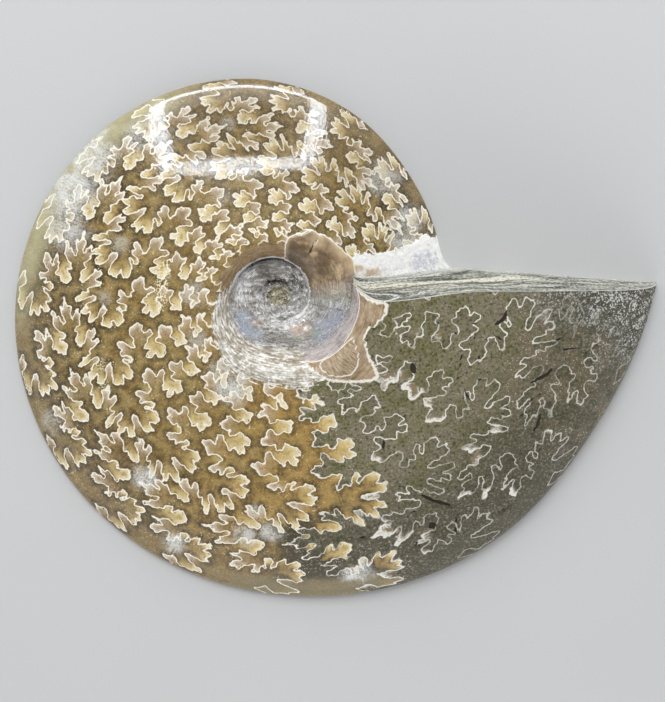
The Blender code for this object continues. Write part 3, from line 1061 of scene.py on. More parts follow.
    # Where the nacre is smooth.
    calms: Patches = Patches(33, 0.6, (
        (-240, 0.3, 2.6, 1), (-262, 0.31, 2.2, 1), (-215, 0.28, 2, 0.9), (-200, 0.26, 1.6, 0.7),
        (-280, 0.32, 1.6, 0.6), (12, 0.25, 2.6, 0.9), (-10, 0.26, 2, 0.7), (35, 0.25, 2.4, 0.8),
        (-28, 0.34, 2.4, 0.6), (-50, 0.33, 2.2, 0.6), (-75, 0.33, 2, 0.5), (-100, 0.34, 2, 0.5),
        (-130, 0.34, 2.2, 0.6), (-155, 0.33, 1.8, 0.5),
    ))
    # Brighter places on the brown shell, partly painted highlight; darker places on it, and painted shadows
    # under the whorls' edges in the nacre.
    bright: Patches = Patches(31, 0.8, (
        (55.4, 0.355, 2.4, 0.8), (62, 0.34, 1.8, 0.5), (37, 0.43, 2.6, 0.9), (25, 0.45, 2, 0.7),
    ))
    shaded: Patches = Patches(32, 0.6, (
        (66, 0.255, 2.6, 0.9), (50, 0.27, 2.6, 0.7), (34, 0.315, 3, 0.6), (-255, 0.19, 0.9, 1),
        (-235, 0.19, 0.9, 1), (-275, 0.195, 0.9, 1), (-292, 0.2, 0.8, 0.8), (-250, 0.27, 1.6, 0.4),
        (-615, 0.44, 1.1, 1), (-600, 0.45, 1.1, 1), (-640, 0.45, 1.1, 0.8), (-580, 0.45, 0.9, 0.8),
        (-315, 0.3, 1.3, 0.7), (-335, 0.33, 1.2, 0.6),
    ))
    # Tints of the white calcite.
    lilac: Patches = Patches(29, 0.3, (
        (13, 0.87, 2, 1), (13, 0.92, 2.2, 1),
    ))
    rust: Patches = Patches(30, 0.4, (
        (17, 0.5, 1.6, 0.9), (14, 0.55, 1.5, 0.9), (13, 0.61, 1.4, 0.7), (9, 0.53, 1.6, 0.7),
    ))


# ---- The finishes ----


@dataclass(frozen=True)
class Polished:
    """What the parts of the polished side's finish share: its noises and where the sutures run."""

    paint: Paint
    place: NodeSocket
    grit: Term  # lumps of 0.4 mm
    fine: Term  # lumps of 0.8 mm
    small: Term  # lumps of 2 mm
    mottle: Term  # lumps of 4 mm with finer ones on them
    broad: Term  # lumps of 15 mm
    streak: Term  # along the coil
    fibre: Term  # across it
    angle: Term  # turning angle
    share: Term  # the logarithm of the share of the keel radius
    away: Term  # mm from the nearest suture
    folded: Term  # above 0 inside a finger of a suture
    ahead: Term  # 1 ahead of the nearest suture, 0 behind it


@dataclass(frozen=True)
class GoldenCalcite:
    """The golden crystal fill of the older chambers, glowing inside the fingers of the sutures."""

    dark: Colour = (0.05, 0.033, 0.012)
    deep: Colour = (0.18, 0.114, 0.035)
    plain: Colour = (0.33, 0.22, 0.076)
    olive: Colour = (0.295, 0.222, 0.09)
    warm: Colour = (0.47, 0.305, 0.108)
    amber: Colour = (0.46, 0.275, 0.07)
    bright: Colour = (0.66, 0.54, 0.3)
    glow: Colour = (0.68, 0.51, 0.21)
    halo: Colour = (0.86, 0.77, 0.55)
    mauve: Colour = (0.44, 0.32, 0.2)
    pale: Colour = (0.76, 0.67, 0.54)
    line: Colour = (0.96, 0.89, 0.74)
    fleck: Colour = (0.84, 0.76, 0.56)
    cloud: Colour = (0.7, 0.7, 0.665)
    khaki: Colour = (0.215, 0.18, 0.098)
    # The colour of the painted glints.
    glint: Colour = (0.9, 0.8, 0.52)
    # The pale rim's colour, partly a painted sheen.
    veil_and_sheen: Colour = (0.45, 0.415, 0.235)
    gloom: Colour = (0.058, 0.048, 0.025)

    def colour(self, s: Polished, cloud: Term, gloom: Term, veil_and_sheen: Term, glint_and_top_shade: Term) -> NodeSocket:
        """Mix its colour, sutures and all.

        Args:
            s: the shared noises and suture sums.
            cloud: white clouds.
            gloom: the dark stretch by the keel.
            veil_and_sheen: above 0 a pale veil on the upper-left rim, partly a painted sheen; below 0 the
                khaki rim.
            glint_and_top_shade: above 0 painted glints, below 0 painted shade that dims the top.

        Returns:
            The colour.
        """
        p = s.paint
        shade = s.broad * 0.25 + s.mottle * 0.50 + s.fibre * 0.25
        base = p.ramp(shade, (
            (0.41, self.deep), (0.48, self.plain), (0.54, self.olive), (0.61, self.warm),
        ))
        base = p.mixed(s.share.rise(-0.75, -1.20) * 0.4, base, self.warm)
        base = p.mixed(s.angle.rise(3.9, 4.7) * s.mottle.rise(0.35, 0.60) * 0.6, base, self.amber)
        base = p.mixed(s.share.rise(-0.32, -0.12) * 0.35, base, self.dark)
        shadow = 0.55 + s.share.rise(-0.80, -0.25) * 0.25 + s.broad.rise(0.44, 0.58) * 0.20
        shadow = (-s.folded).rise(-0.10, 0.35) * s.away.rise(1.8, 0.1) * shadow
        base = p.mixed(shadow, base, self.dark)
        outside = (s.folded.rise(0.12, -0.12) + s.away.rise(1.8, 2.8)).rise(0.0, 1.0)
        base = p.mixed(gloom * outside, base, self.gloom)
        base = self.lit(s, base)
        base = p.mixed(s.grit.rise(0.62, 0.69) * s.mottle.rise(0.51, 0.60) * 0.8, base, self.fleck)
        grain = s.fine * 0.5 + s.grit * 0.5 - 0.5
        base = p.mixed(grain.rise(0.01, 0.16) * 0.28, base, self.bright)
        base = p.mixed((-grain).rise(0.01, 0.16) * 0.45, base, self.dark)
        # A pale veil on the upper-left rim, partly a painted sheen, and the khaki rim.
        base = p.mixed(veil_and_sheen.rise(0.0, 0.9) * (0.35 + s.small * 0.8), base, self.veil_and_sheen)
        base = p.mixed(veil_and_sheen.rise(0.0, -0.9) * (0.35 + s.small * 0.9), base, self.khaki)
        # Painted glints where the crystals catch the light.
        base = p.mixed(glint_and_top_shade.rise(0.0, 0.8) * s.grit.rise(0.48, 0.58) * 0.9, base, self.glint)
        feathery = (s.small * 0.35 + s.grit * 0.40 + s.fibre * 0.25).rise(0.42, 0.56)
        base = p.mixed(cloud * (cloud * 0.35 + feathery * 0.65), base, self.cloud)
        thin = s.away + (s.grit - 0.5) * 0.14
        base = p.mixed(thin.rise(0.20, 0.06) * (0.60 + s.small * 0.6), base, self.line)
        # Painted shade that dims the top.
        return p.mixed(glint_and_top_shade.rise(0.0, -1.0) * 0.28, base, self.deep)

    def lit(self, s: Polished, base: NodeSocket) -> NodeSocket:
        """Add the glow inside the fingers, yellow behind a line and mauve ahead.

        Args:
            s: the shared noises and suture sums.
            base: the colour under it.

        Returns:
            The colour.
        """
        p = s.paint
        saddle = 1.0 - s.ahead
        inside, tips = s.folded.rise(0.02, 0.42), s.folded.rise(0.12, 0.60)
        edge = s.away + (s.fine - 0.5) * 0.6
        base = p.mixed(saddle * inside * s.away.rise(2.6, 0.2) * (0.30 + s.mottle * 1.2), base, self.glow)
        base = p.mixed(s.ahead * inside * s.away.rise(2.0, 0.1) * (0.30 + s.mottle * 1.1), base, self.mauve)
        base = p.mixed(saddle * tips * edge.rise(1.05, 0.15) * 0.85, base, self.halo)
        return p.mixed(s.ahead * tips * edge.rise(0.85, 0.1) * 0.85, base, self.pale)


@dataclass(frozen=True)
class StoneFill:
    """The olive-grey sandy fill of the later chambers, with thin pale sutures and dark gashes."""

    dark: Colour = (0.04, 0.034, 0.018)
    olive: Colour = (0.15, 0.136, 0.058)
    plain: Colour = (0.182, 0.162, 0.088)
    brown: Colour = (0.2, 0.168, 0.11)
    light: Colour = (0.33, 0.31, 0.215)
    # Painted shade towards the keel.
    rim_shade: Colour = (0.046, 0.04, 0.024)
    rust: Colour = (0.3, 0.215, 0.125)
    rusty: Colour = (0.2, 0.15, 0.088)
    line: Colour = (0.82, 0.785, 0.69)
    white: Colour = (0.8, 0.77, 0.69)
    fleck: Colour = (0.6, 0.56, 0.42)
    crumb: Colour = (0.56, 0.56, 0.515)
    grey: Colour = (0.084, 0.082, 0.063)

    def colour(self, s: Polished, tip: Term, fill: Term) -> NodeSocket:
        """Mix its colour, sutures and all.

        Args:
            s: the shared noises and suture sums.
            tip: the rough grey tip.
            fill: where white fills the fingers.

        Returns:
            The colour.
        """
        p = s.paint
        grain = p.noise(s.place, 1700.0, 3.0, 0.6)
        base = p.ramp(s.mottle * 0.6 + s.broad * 0.4, (
            (0.42, self.olive), (0.50, self.plain), (0.57, self.brown),
        ))
        # Painted shade: darker towards the keel.
        base = p.mixed(s.share.rise(-0.60, -0.10) * 0.75, base, self.rim_shade)
        base = p.mixed(grain.rise(0.53, 0.67) * 0.50, base, self.light)
        base = p.mixed(grain.rise(0.47, 0.35) * 0.80, base, self.dark)
        far = s.angle.rise(5.70, 5.95) * s.share.rise(-0.55, -0.35)
        base = p.mixed(far * s.mottle.rise(0.42, 0.56) * 0.45, base, self.rusty)
        sandy = 0.4 + s.angle.rise(5.35, 4.95) + far * 0.9
        base = p.mixed(s.grit.rise(0.61, 0.68) * s.mottle.rise(0.47, 0.56) * sandy, base, self.fleck)
        shade = s.folded.rise(0.0, 0.4) * s.away.rise(2.0, 0.2)
        base = p.mixed(shade * 0.25, base, self.dark)
        kept = 0.30 + (p.noise(s.place, 120.0, 2.0) * 0.6 + s.small * 0.4).rise(0.38, 0.54) * 0.70
        kept = kept * (1.0 - s.share.rise(-0.50, -0.15) * 0.35)
        thin = s.away + (s.grit - 0.5) * 0.16
        base = p.mixed(thin.rise(0.18, 0.05) * kept, base, self.line)
        full = fill * s.folded.rise(0.06, 0.22)
        base = p.mixed(full * s.away.rise(2.4, 0.6) * 0.8, base, self.rust)
        ragged = s.away + (s.fine - 0.5) * 1.0 + (s.small - 0.5) * 0.8
        feathered = (s.fibre * 0.40 + s.fine * 0.25 + s.grit * 0.35).rise(0.42, 0.54)
        base = p.mixed(full * ragged.rise(0.85, 0.50) * (0.20 + feathered * 0.80), base, self.white)
        base = p.mixed(fill * s.away.rise(0.32, 0.14), base, self.white)
        base = p.mixed(tip * 0.75, base, self.grey)
        base = p.mixed(tip * s.fine.rise(0.49, 0.39) * 0.9, base, self.dark)
        frost = (s.grit * 0.7 + s.fine * 0.3 + (s.small - 0.5) * 0.4).rise(0.51, 0.59)
        return p.mixed(tip * frost, base, self.crumb)


@dataclass(frozen=True)
class ShellRemnants:
    """The brown shell left round the umbilicus, the lining of its wall, the crust and the calcite."""

    amber: Colour = (0.245, 0.165, 0.092)
    amber_bright: Colour = (0.68, 0.51, 0.31)
    amber_dark: Colour = (0.11, 0.078, 0.05)
    band_dark: Colour = (0.17, 0.102, 0.042)
    band: Colour = (0.3, 0.195, 0.092)
    band_pale: Colour = (0.43, 0.315, 0.175)
    tan: Colour = (0.37, 0.265, 0.155)
    tan_pale: Colour = (0.54, 0.44, 0.315)
    tan_dark: Colour = (0.19, 0.125, 0.062)
    lining: Colour = (0.48, 0.42, 0.4)
    lining_dark: Colour = (0.25, 0.2, 0.19)
    lining_pale: Colour = (0.62, 0.57, 0.55)
    edge: Colour = (0.88, 0.82, 0.71)
    crust: Colour = (0.62, 0.585, 0.52)
    crust_dark: Colour = (0.26, 0.2, 0.12)
    crust_grey: Colour = (0.39, 0.35, 0.275)
    crust_white: Colour = (0.95, 0.925, 0.865)
    calcite: Colour = (0.96, 0.945, 0.91)
    calcite_grey: Colour = (0.76, 0.75, 0.71)
    rust: Colour = (0.56, 0.4, 0.24)
    lilac: Colour = (0.6, 0.605, 0.68)

    def over(self, s: Polished, colour: NodeSocket, shell: tuple[Term, Term, Term], band: Term,
             light: Term) -> NodeSocket:
        """Lay the brown shell over a colour.

        Args:
            s: the shared noises and suture sums.
            colour: the colour under it.
            shell: mm inside the brown shell, the tan shell and the fan.
            band: mm inside the smooth band.
            light: above 0 brighter places, partly painted highlight; below 0 darker places and painted
                shadow.

        Returns:
            The colour.
        """
        p = s.paint
        amber, tan, fan = shell
        smooth = p.ramp(s.streak * 0.7 + s.small * 0.3, (
            (0.38, self.band_dark), (0.50, self.band), (0.62, self.band_pale),
        ))
        colour = p.mixed(band.rise(-0.6, 0.5), colour, smooth)
        mottled = p.noise(s.place, 190.0, 5.0, 0.65)
        brown = p.ramp(mottled * 0.6 + s.small * 0.2 + s.streak * 0.2, (
            (0.38, self.amber_dark), (0.50, self.amber), (0.60, self.amber_bright),
        ))
        brown = p.mixed(amber.rise(1.2, 0.2) * 0.4, brown, self.amber_bright)
        # Painted highlight and painted shadow on the brown shell, with its own brighter and darker places.
        brown = p.mixed(light.rise(0.0, 0.9) * (0.4 + s.small * 0.6), brown, self.amber_bright)
        brown = p.mixed(light.rise(0.0, -0.9) * 0.7, brown, self.amber_dark)
        colour = p.mixed(amber.rise(-0.06, 0.06), colour, brown)
        colour = p.mixed((amber + (s.fine - 0.5) * 0.5).size().rise(0.22, 0.08) * 0.85, colour, self.edge)
        pale = p.ramp(s.small * 0.5 + s.streak * 0.5, (
            (0.38, self.tan_dark), (0.50, self.tan), (0.64, self.tan_pale),
        ))
        ribbed = p.ramp(s.fibre, ((0.36, self.tan_dark), (0.50, self.tan), (0.60, self.tan_pale)))
        pale = p.mixed(fan.rise(-0.06, 0.06), pale, ribbed)
        pale = p.mixed(fan.size().rise(0.30, 0.10) * 0.8, pale, self.edge)
        colour = p.mixed(tan.rise(-0.06, 0.06), colour, pale)
        crumbly = (tan + (s.fine - 0.5) * 1.2 + 0.1).size().rise(0.50, 0.15)
        return p.mixed(crumbly, colour, self.edge)

    def lined(self, s: Polished, colour: NodeSocket, lining: Term, crust: Term) -> NodeSocket:
        """Lay the wall's lining and the crust over a colour.

        Args:
            s: the shared noises and suture sums.
            colour: the colour under it.
            lining: mm inside the lining.
            crust: mm inside the crust.

        Returns:
            The colour.
        """
        p = s.paint
        pink = p.ramp(s.streak * 0.7 + s.fine * 0.3, (
            (0.36, self.lining_dark), (0.50, self.lining), (0.66, self.lining_pale),
        ))
        colour = p.mixed(lining.rise(-0.05, 0.05), colour, pink)
        colour = p.mixed((lining + 0.05).size().rise(0.26, 0.10) * 0.9, colour, self.edge)
        white = p.ramp(s.streak * 0.45 + s.fine * 0.30 + s.small * 0.25, (
            (0.42, self.crust_dark), (0.475, self.crust_grey), (0.525, self.crust), (0.58, self.crust_white),
        ))
        ragged = crust + (s.fine - 0.5) * 2.0 + (s.small - 0.5) * 2.6 + (s.streak - 0.5) * 5.0
        return p.mixed(ragged.rise(-0.3, 0.3), colour, white)

    def corner(self, s: Polished, colour: NodeSocket, calcite: Term, lilac: Term) -> NodeSocket:
        """Lay the white calcite above the aperture face over a colour.

        Args:
            s: the shared noises and suture sums.
            colour: the colour under it.
            calcite: mm inside the calcite.
            lilac: above 0 lilac, below 0 rusty.

        Returns:
            The colour.
        """
        p = s.paint
        white = p.mixed((s.small * 0.5 + s.grit * 0.5).rise(0.45, 0.36), self.calcite, self.calcite_grey)
        white = p.mixed(lilac.rise(0.0, 0.9) * s.fine.rise(0.35, 0.6), white, self.lilac)
        white = p.mixed(lilac.rise(0.0, -0.9) * s.small.rise(0.35, 0.6), white, self.rust)
        ragged = calcite + (s.fine - 0.5) * 1.2 + (s.small - 0.5) * 2.4
        colour = p.mixed(ragged.rise(-0.12, 0.12), colour, white)
        return p.mixed((ragged - 0.1).size().rise(0.25, 0.08) * 0.5, colour, self.edge)


@dataclass(frozen=True)
class Nacre:
    """The mother-of-pearl of the inner whorls, with crumbs of crust."""

    dark: Colour = (0.115, 0.096, 0.076)
    grey: Colour = (0.375, 0.352, 0.325)
    lilac: Colour = (0.63, 0.615, 0.6)
    pale: Colour = (0.92, 0.905, 0.87)
    calm_dark: Colour = (0.105, 0.088, 0.068)
    calm: Colour = (0.29, 0.262, 0.23)
    calm_pale: Colour = (0.52, 0.495, 0.465)
    inner: Colour = (0.19, 0.165, 0.125)
    blue: Colour = (0.41, 0.48, 0.61)
    warm: Colour = (0.72, 0.54, 0.43)
    green: Colour = (0.36, 0.42, 0.3)
    shade: Colour = (0.04, 0.032, 0.025)
    heart: Colour = (0.42, 0.38, 0.24)
    heart_dark: Colour = (0.045, 0.038, 0.024)
    white: Colour = (0.86, 0.85, 0.83)

    def over(self, s: Polished, colour: NodeSocket, crumbs: tuple[Term, Term, Term],
             tint: tuple[Term, Term, Term], radius: Term, light: Term, calm: Term) -> NodeSocket:
        """Lay the nacre over a colour.

        Args:
            s: the shared noises and suture sums.
            colour: the colour under it.
            crumbs: the crumbs, the seam and the nacre itself.
            tint: the blue, warm and green places.
            radius: mm from the axis.
            light: below 0 in shade.
            calm: where it is smooth.

        Returns:
            The colour.
        """
        p = s.paint
        crumb, seam, nacre = crumbs
        blue, warm, green = tint
        base = p.ramp(s.streak * 0.45 + s.fine * 0.15 + s.grit * 0.10 + s.mottle * 0.30, (
            (0.38, self.dark), (0.45, self.grey), (0.53, self.lilac), (0.62, self.pale),
        ))
        still = p.ramp(s.mottle * 0.6 + s.streak * 0.4, (
            (0.38, self.calm_dark), (0.50, self.calm), (0.62, self.calm_pale),
        ))
        base = p.mixed(calm * 0.85, base, still)
        base = p.mixed(radius.rise(9.0, 4.0) * 0.4, base, self.inner)
        sheen = p.mixed(s.fine.rise(0.42, 0.70) * 0.8, self.blue, self.lilac)
        base = p.mixed(blue * s.mottle.rise(0.28, 0.50) * 0.80, base, sheen)
        base = p.mixed(green * s.small.rise(0.36, 0.56) * 0.8, base, self.green)
        base = p.mixed(warm * s.small.rise(0.40, 0.56) * 0.8, base, self.warm)
        base = p.mixed(light.rise(0.0, -0.9) * 0.85, base, self.shade)
        heart = p.mixed((s.small * 0.5 + s.grit * 0.5).rise(0.49, 0.42), self.heart, self.heart_dark)
        base = p.mixed((radius + (s.small - 0.5) * 2.0).rise(2.7, 2.1), base, heart)
        rough = 1.0 - calm
        base = p.mixed(s.grit.rise(0.57, 0.66) * rough * 0.80, base, self.white)
        lines = (s.streak * 0.6 + s.fine * 0.4).rise(0.57, 0.64)
        base = p.mixed(lines * (1.0 - calm * 0.6), base, self.white)
        base = p.mixed(s.grit.rise(0.42, 0.35) * rough * 0.60, base, self.dark)
        flakes = (crumb * 0.50 + (s.fine - 0.5) * 1.0 + (s.streak - 0.5) * 2.6).rise(0.36, 0.56)
        base = p.mixed(flakes * crumb.rise(0.05, 0.4), base, self.white)
        colour = p.mixed(nacre, colour, base)
        rim = (seam + (s.fine - 0.5) * 1.2 + (s.small - 0.5) * 2.0).rise(0.38, 0.60)
        colour = p.mixed(rim * seam.rise(0.02, 0.15), colour, self.white)
        return p.mixed(light.rise(-0.3, -0.8) * seam.rise(0.1, 0.5), colour, self.shade)


@dataclass(frozen=True)
class PolishedFlank:
    """The polished side: golden calcite, stone fill, nacre, brown shell, crust and calcite."""

    gash: Colour = (0.03, 0.021, 0.01)
    slow_along: float = 5.0
    fast_across: float = 46.0
    bump_mm: float = 0.14

    def survey(self, p: Paint) -> tuple[Polished, Term]:
        """Read the noises and suture sums that all the finishes share.

        Args:
            p: the material's nodes.

        Returns:
            Those sums, and the distance past the stone's start.
        """
        place = p.place()
        angle, share, _ = p.attribute("growth")
        field_mm, turned, stone = p.attribute("suture")
        fine = p.noise(place, 1300.0, 3.0, 0.6)
        wavy = field_mm + (fine - 0.5) * 0.30 + (p.noise(place, 760.0, 1.0) - 0.5) * 0.80
        side = wavy.rise(-0.03, 0.03) * 2.0 - 1.0
        shared = Polished(
            paint=p,
            place=place,
            grit=p.noise(place, 2500.0, 2.0, 0.6),
            fine=fine,
            small=p.noise(place, 420.0, 4.0, 0.6),
            mottle=p.noise(place, 250.0, 5.0, 0.65),
            broad=p.noise(place, 70.0, 3.0),
            streak=p.noise(p.vector(angle * self.slow_along, share * self.fast_across, 0.0), 1.0, 4.0, 0.6),
            fibre=p.noise(p.vector(angle * 70.0, share * 7.0, 0.0), 1.6, 4.0, 0.6),
            angle=angle,
            share=share,
            away=wavy.size(),
            folded=side * turned,
            ahead=(side * p.attribute("side")[1]).rise(-0.2, 0.2),
        )
        return shared, stone

    def paint(self) -> Material:
        """Mix the material.

        Returns:
            The material.
        """
        p = Paint("polished_flank")
        s, stone = self.survey(p)
        radius = p.attribute("growth")[2]
        cloud, fill, gash = p.attribute("marks")
        tip, gloom, lilac = p.attribute("rock")
        lining, crust, calcite = p.attribute("skin")
        band, _, light = p.attribute("side")
        # Calm nacre, a pale rim veil that is partly a painted sheen, and painted glints less painted shade on
        # the top.
        calm, veil_and_sheen, glint_and_top_shade = p.attribute("calm")
        shell, crumbs, tint = p.attribute("shell"), p.attribute("crumbs"), p.attribute("tint")
        stoned = stone.rise(-0.04, 0.04)
        remnants = ShellRemnants()

        gold = GoldenCalcite().colour(s, cloud, gloom, veil_and_sheen, glint_and_top_shade)
        colour = p.mixed(stoned, gold, StoneFill().colour(s, tip, fill))
        colour = remnants.corner(s, colour, calcite, lilac)
        colour = remnants.over(s, colour, shell, band, light)
        colour = Nacre().over(s, colour, crumbs, tint, radius, light, calm)
        colour = remnants.lined(s, colour, lining, crust)
        colour = p.mixed((gash + (s.fine - 0.5) * 0.5).rise(-0.02, 0.12), colour, self.gash)

        matt = crust.rise(-0.4, 0.4) + crumbs[0] + calcite.rise(-0.2, 0.2) + tip * stoned * 0.7
        matt = (matt.rise(0.0, 1.0) + band.rise(-0.6, 0.5) * 0.5).rise(0.0, 1.0)
        scratch = (p.noise(s.place, 1500.0, 2.0) - 0.5).size().rise(0.055, 0.015)
        rough = 0.04 + 0.30 * scratch + 0.22 * stoned + 0.42 * matt + 0.5 * gash.rise(-0.1, 0.1)
        gloss = (1.0 - 0.45 * stoned) * (1.0 - 0.8 * matt) * gash.rise(0.1, -0.1)
        crinkle = p.noise(s.place, 1300.0, 1.0)
        hatch = p.noise(p.vector(s.angle * 60.0, s.share * 8.0, 0.0), 1.0, 1.0)
        grained = s.fine * (stoned * 0.4 + matt + crumbs[2] * 0.6)
        p.bump(grained + crinkle * 0.05 + hatch * 0.10, self.bump_mm)
        p.set(Base_Color=colour, Roughness=rough, Coat_Weight=gloss * 0.25, Coat_Roughness=0.03, IOR=1.5)
        return p.material


@dataclass(frozen=True)
class ApertureFace:
    """The cut across the last whorl: grey-green stone in streaks that follow the shell."""

    stone: Colour = (0.036, 0.036, 0.027)
    middle: Colour = (0.168, 0.168, 0.132)
    pale: Colour = (0.355, 0.352, 0.292)
    light: Colour = (0.63, 0.62, 0.535)
    cream: Colour = (0.68, 0.65, 0.51)
    brown: Colour = (0.12, 0.1, 0.055)
    white: Colour = (0.68, 0.68, 0.63)
    dark: Colour = (0.04, 0.04, 0.03)

    def paint(self) -> Material:
        """Mix the material.

        Returns:
            The material.
        """
        p = Paint("aperture_face")
        place = p.place()
        away, depth, along = p.attribute("face")
        grain = p.noise(place, 1700.0, 3.0, 0.6)
        bent = p.noise(p.vector(along * 0.10, depth * 2.0, 0.0), 1.0, 3.0, 0.5)
        layer = depth + (bent - 0.5) * 0.26
        streaks = p.noise(p.vector(along * 0.07, layer * 10.0, 0.0), 1.0, 5.0, 0.7)
        base = p.ramp(streaks * 0.8 + grain * 0.2, (
            (0.42, self.stone), (0.47, self.middle), (0.53, self.pale), (0.61, self.light),
        ))
        cream = (layer - 0.46).size().rise(0.080, 0.03) * along.rise(10.0, 14.0) * along.rise(66.0, 50.0)
        base = p.mixed(cream * (streaks * 0.7 + grain * 0.3).rise(0.42, 0.52) * 0.85, base, self.cream)
        below = (layer - 0.565).size().rise(0.030, 0.010) * along.rise(14.0, 20.0) * along.rise(52.0, 38.0)
        base = p.mixed(below * 0.9, base, self.brown)
        # Painted shadow line just inside the rim.
        under = (layer - 0.90).size().rise(0.05, 0.02) * along.rise(22.0, 26.0) * along.rise(36.0, 30.0)
        base = p.mixed(under * 0.7, base, self.stone)
        base = p.mixed((layer + (grain - 0.5) * 0.3).rise(0.14, 0.03) * 0.6, base, self.white)
        lens = ((along - 21.0) * (1.0 / 4.2)) ** 2.0 + ((depth - 0.84) * (1.0 / 0.14)) ** 2.0
        base = p.mixed(lens.rise(1.1, 0.9), base, p.mixed(grain.rise(0.4, 0.6), self.stone, self.middle))
        base = p.mixed((lens - 1.0).size().rise(0.40, 0.10) * 0.85, base, self.white)
        tip = along.rise(52.0, 70.0)
        base = p.mixed(grain.rise(0.54, 0.66) * (0.30 + tip * 0.45), base, self.white)
        base = p.mixed(grain.rise(0.47, 0.36) * 0.7, base, self.dark)
        base = p.mixed((away + (grain - 0.5) * 1.2).rise(0.50, 0.15) * 0.50, base, self.white)
        p.bump(grain, 0.12)
        p.set(Base_Color=base, Roughness=0.50 + (grain - 0.5) * 0.2)
        return p.material


@dataclass(frozen=True)
class SawnFace:
    """The polished cut through the middle plane: whorls, septa and the chambers' crystal fill."""

    shift: Vector
    coil: Coil
    septum_degrees: float = 18.0
    septum_foot: float = 0.42  # the share from which a chamber's wall bows
    last_angle: float = math.radians(395.0)
    stone_angles: tuple[float, float] = (math.radians(283.0), math.radians(287.0))
    wall: Colour = (0.7, 0.62, 0.46)
    fills: tuple[Colour, ...] = (
        (0.24, 0.15, 0.06), (0.42, 0.30, 0.13), (0.60, 0.50, 0.32), (0.20, 0.16, 0.10), (0.66, 0.60, 0.50),
    )
    glow: Colour = (0.66, 0.56, 0.34)
    stone: Colour = (0.16, 0.15, 0.1)
    stone_light: Colour = (0.28, 0.26, 0.19)

    def plain_radius(self, p: Paint, radius: Term, around: Term) -> Term:
        """Take the swell out of a radius.

        Args:
            p: the material's nodes.
            radius: the radius.
            around: the angle.

        Returns:
            The radius on the plain spiral.
        """
        coil = self.coil
        turned = (around * (1.0 / TURN)).math("FRACT")
        low, high = min(coil.swell_factors), max(coil.swell_factors)
        stops = tuple(
            (min(degrees / 360.0, 1.0), ((factor - low) / (high - low),) * 3)
            for degrees, factor in zip(coil.swell_degrees, coil.swell_factors)
        )
        swell = Term(p, p.ramp(turned, stops)) * (high - low) + low
        keel = ((turned * TURN - coil.first_angle) * coil.growth).math("EXPONENT") * coil.first_keel
        return radius / ((swell - 1.0) * (radius / keel).rise(*coil.swell_shares) + 1.0)

    def unrolled(self, p: Paint, place: NodeSocket) -> tuple[Term, Term, Term]:
        """Wind the whorls out over the cut.

        Args:
            p: the material's nodes.
            place: the place on the object.

        Returns:
            The radius on the plain spiral, the turning angle, and the share of the keel radius.
        """
        coil = self.coil
        centred = p.node("VectorMath", {"operation": "SUBTRACT"}, {0: place, 1: tuple(self.shift)})
        flat = p.node("SeparateXYZ", sockets={0: centred.outputs[0]})
        x, y = Term(p, flat.outputs[0]), Term(p, flat.outputs[1])
        around = y.math("ARCTAN2", x)
        radius = self.plain_radius(p, (x * x + y * y + 1e-9) ** 0.5, around)
        reached = (radius * (1.0 / coil.first_keel)).math("LOGARITHM", math.e) * (1.0 / coil.growth)
        reached = reached + coil.first_angle
        turns = ((reached - around) * (1.0 / TURN)).math("CEIL")
        angle = around + turns * TURN
        angle = angle - angle.math("GREATER_THAN", self.last_angle) * TURN
        return radius, angle, ((reached - angle) * coil.growth).math("EXPONENT")

    def paint(self) -> Material:
        """Mix the material.

        Returns:
            The material.
        """
        p = Paint("sawn_face")
        place = p.place()
        radius, angle, share = self.unrolled(p, place)
        spacing = math.radians(self.septum_degrees)
        outward = (share - self.septum_foot) * (1.0 / (1.0 - self.septum_foot))
        septum = (angle - outward * (1.0 - outward) * 0.5) * (1.0 / spacing)
        gap = (0.5 - (septum.math("FRACT") - 0.5).size()) * radius * (spacing / MM)
        ragged = p.noise(place, 500.0, 3.0) - 0.5
        lines = (gap + ragged * 0.3).rise(0.45, 0.2)
        to_keel = (1.0 - share) * radius / share * (1.0 / MM)
        walls = (to_keel + ragged * 0.4).rise(1.1, 0.7)
        chamber = p.node("TexWhiteNoise", {"noise_dimensions": "1D"}, {"W": septum.math("FLOOR")})
        shade = Term(p, chamber.outputs["Value"]) * 0.6 + p.noise(place, 220.0, 4.0) * 0.5 - 0.05
        stops = tuple((number / (len(self.fills) - 1), fill) for number, fill in enumerate(self.fills))
        fill = p.mixed(gap.rise(1.8, 0.2) * 0.5, p.ramp(shade, stops), self.glow)
        grain = p.noise(place, 1200.0, 2.0)
        stone = p.mixed(grain.rise(0.4, 0.7), self.stone, self.stone_light)
        fill = p.mixed(angle.rise(*self.stone_angles), fill, stone)
        colour = p.mixed(walls, p.mixed(lines, fill, self.wall), self.wall)
        p.bump(grain, 0.02)
        p.set(Base_Color=colour, Roughness=0.22 + grain * 0.1, Coat_Weight=0.5)
        return p.material


# ---- The fossil half ----


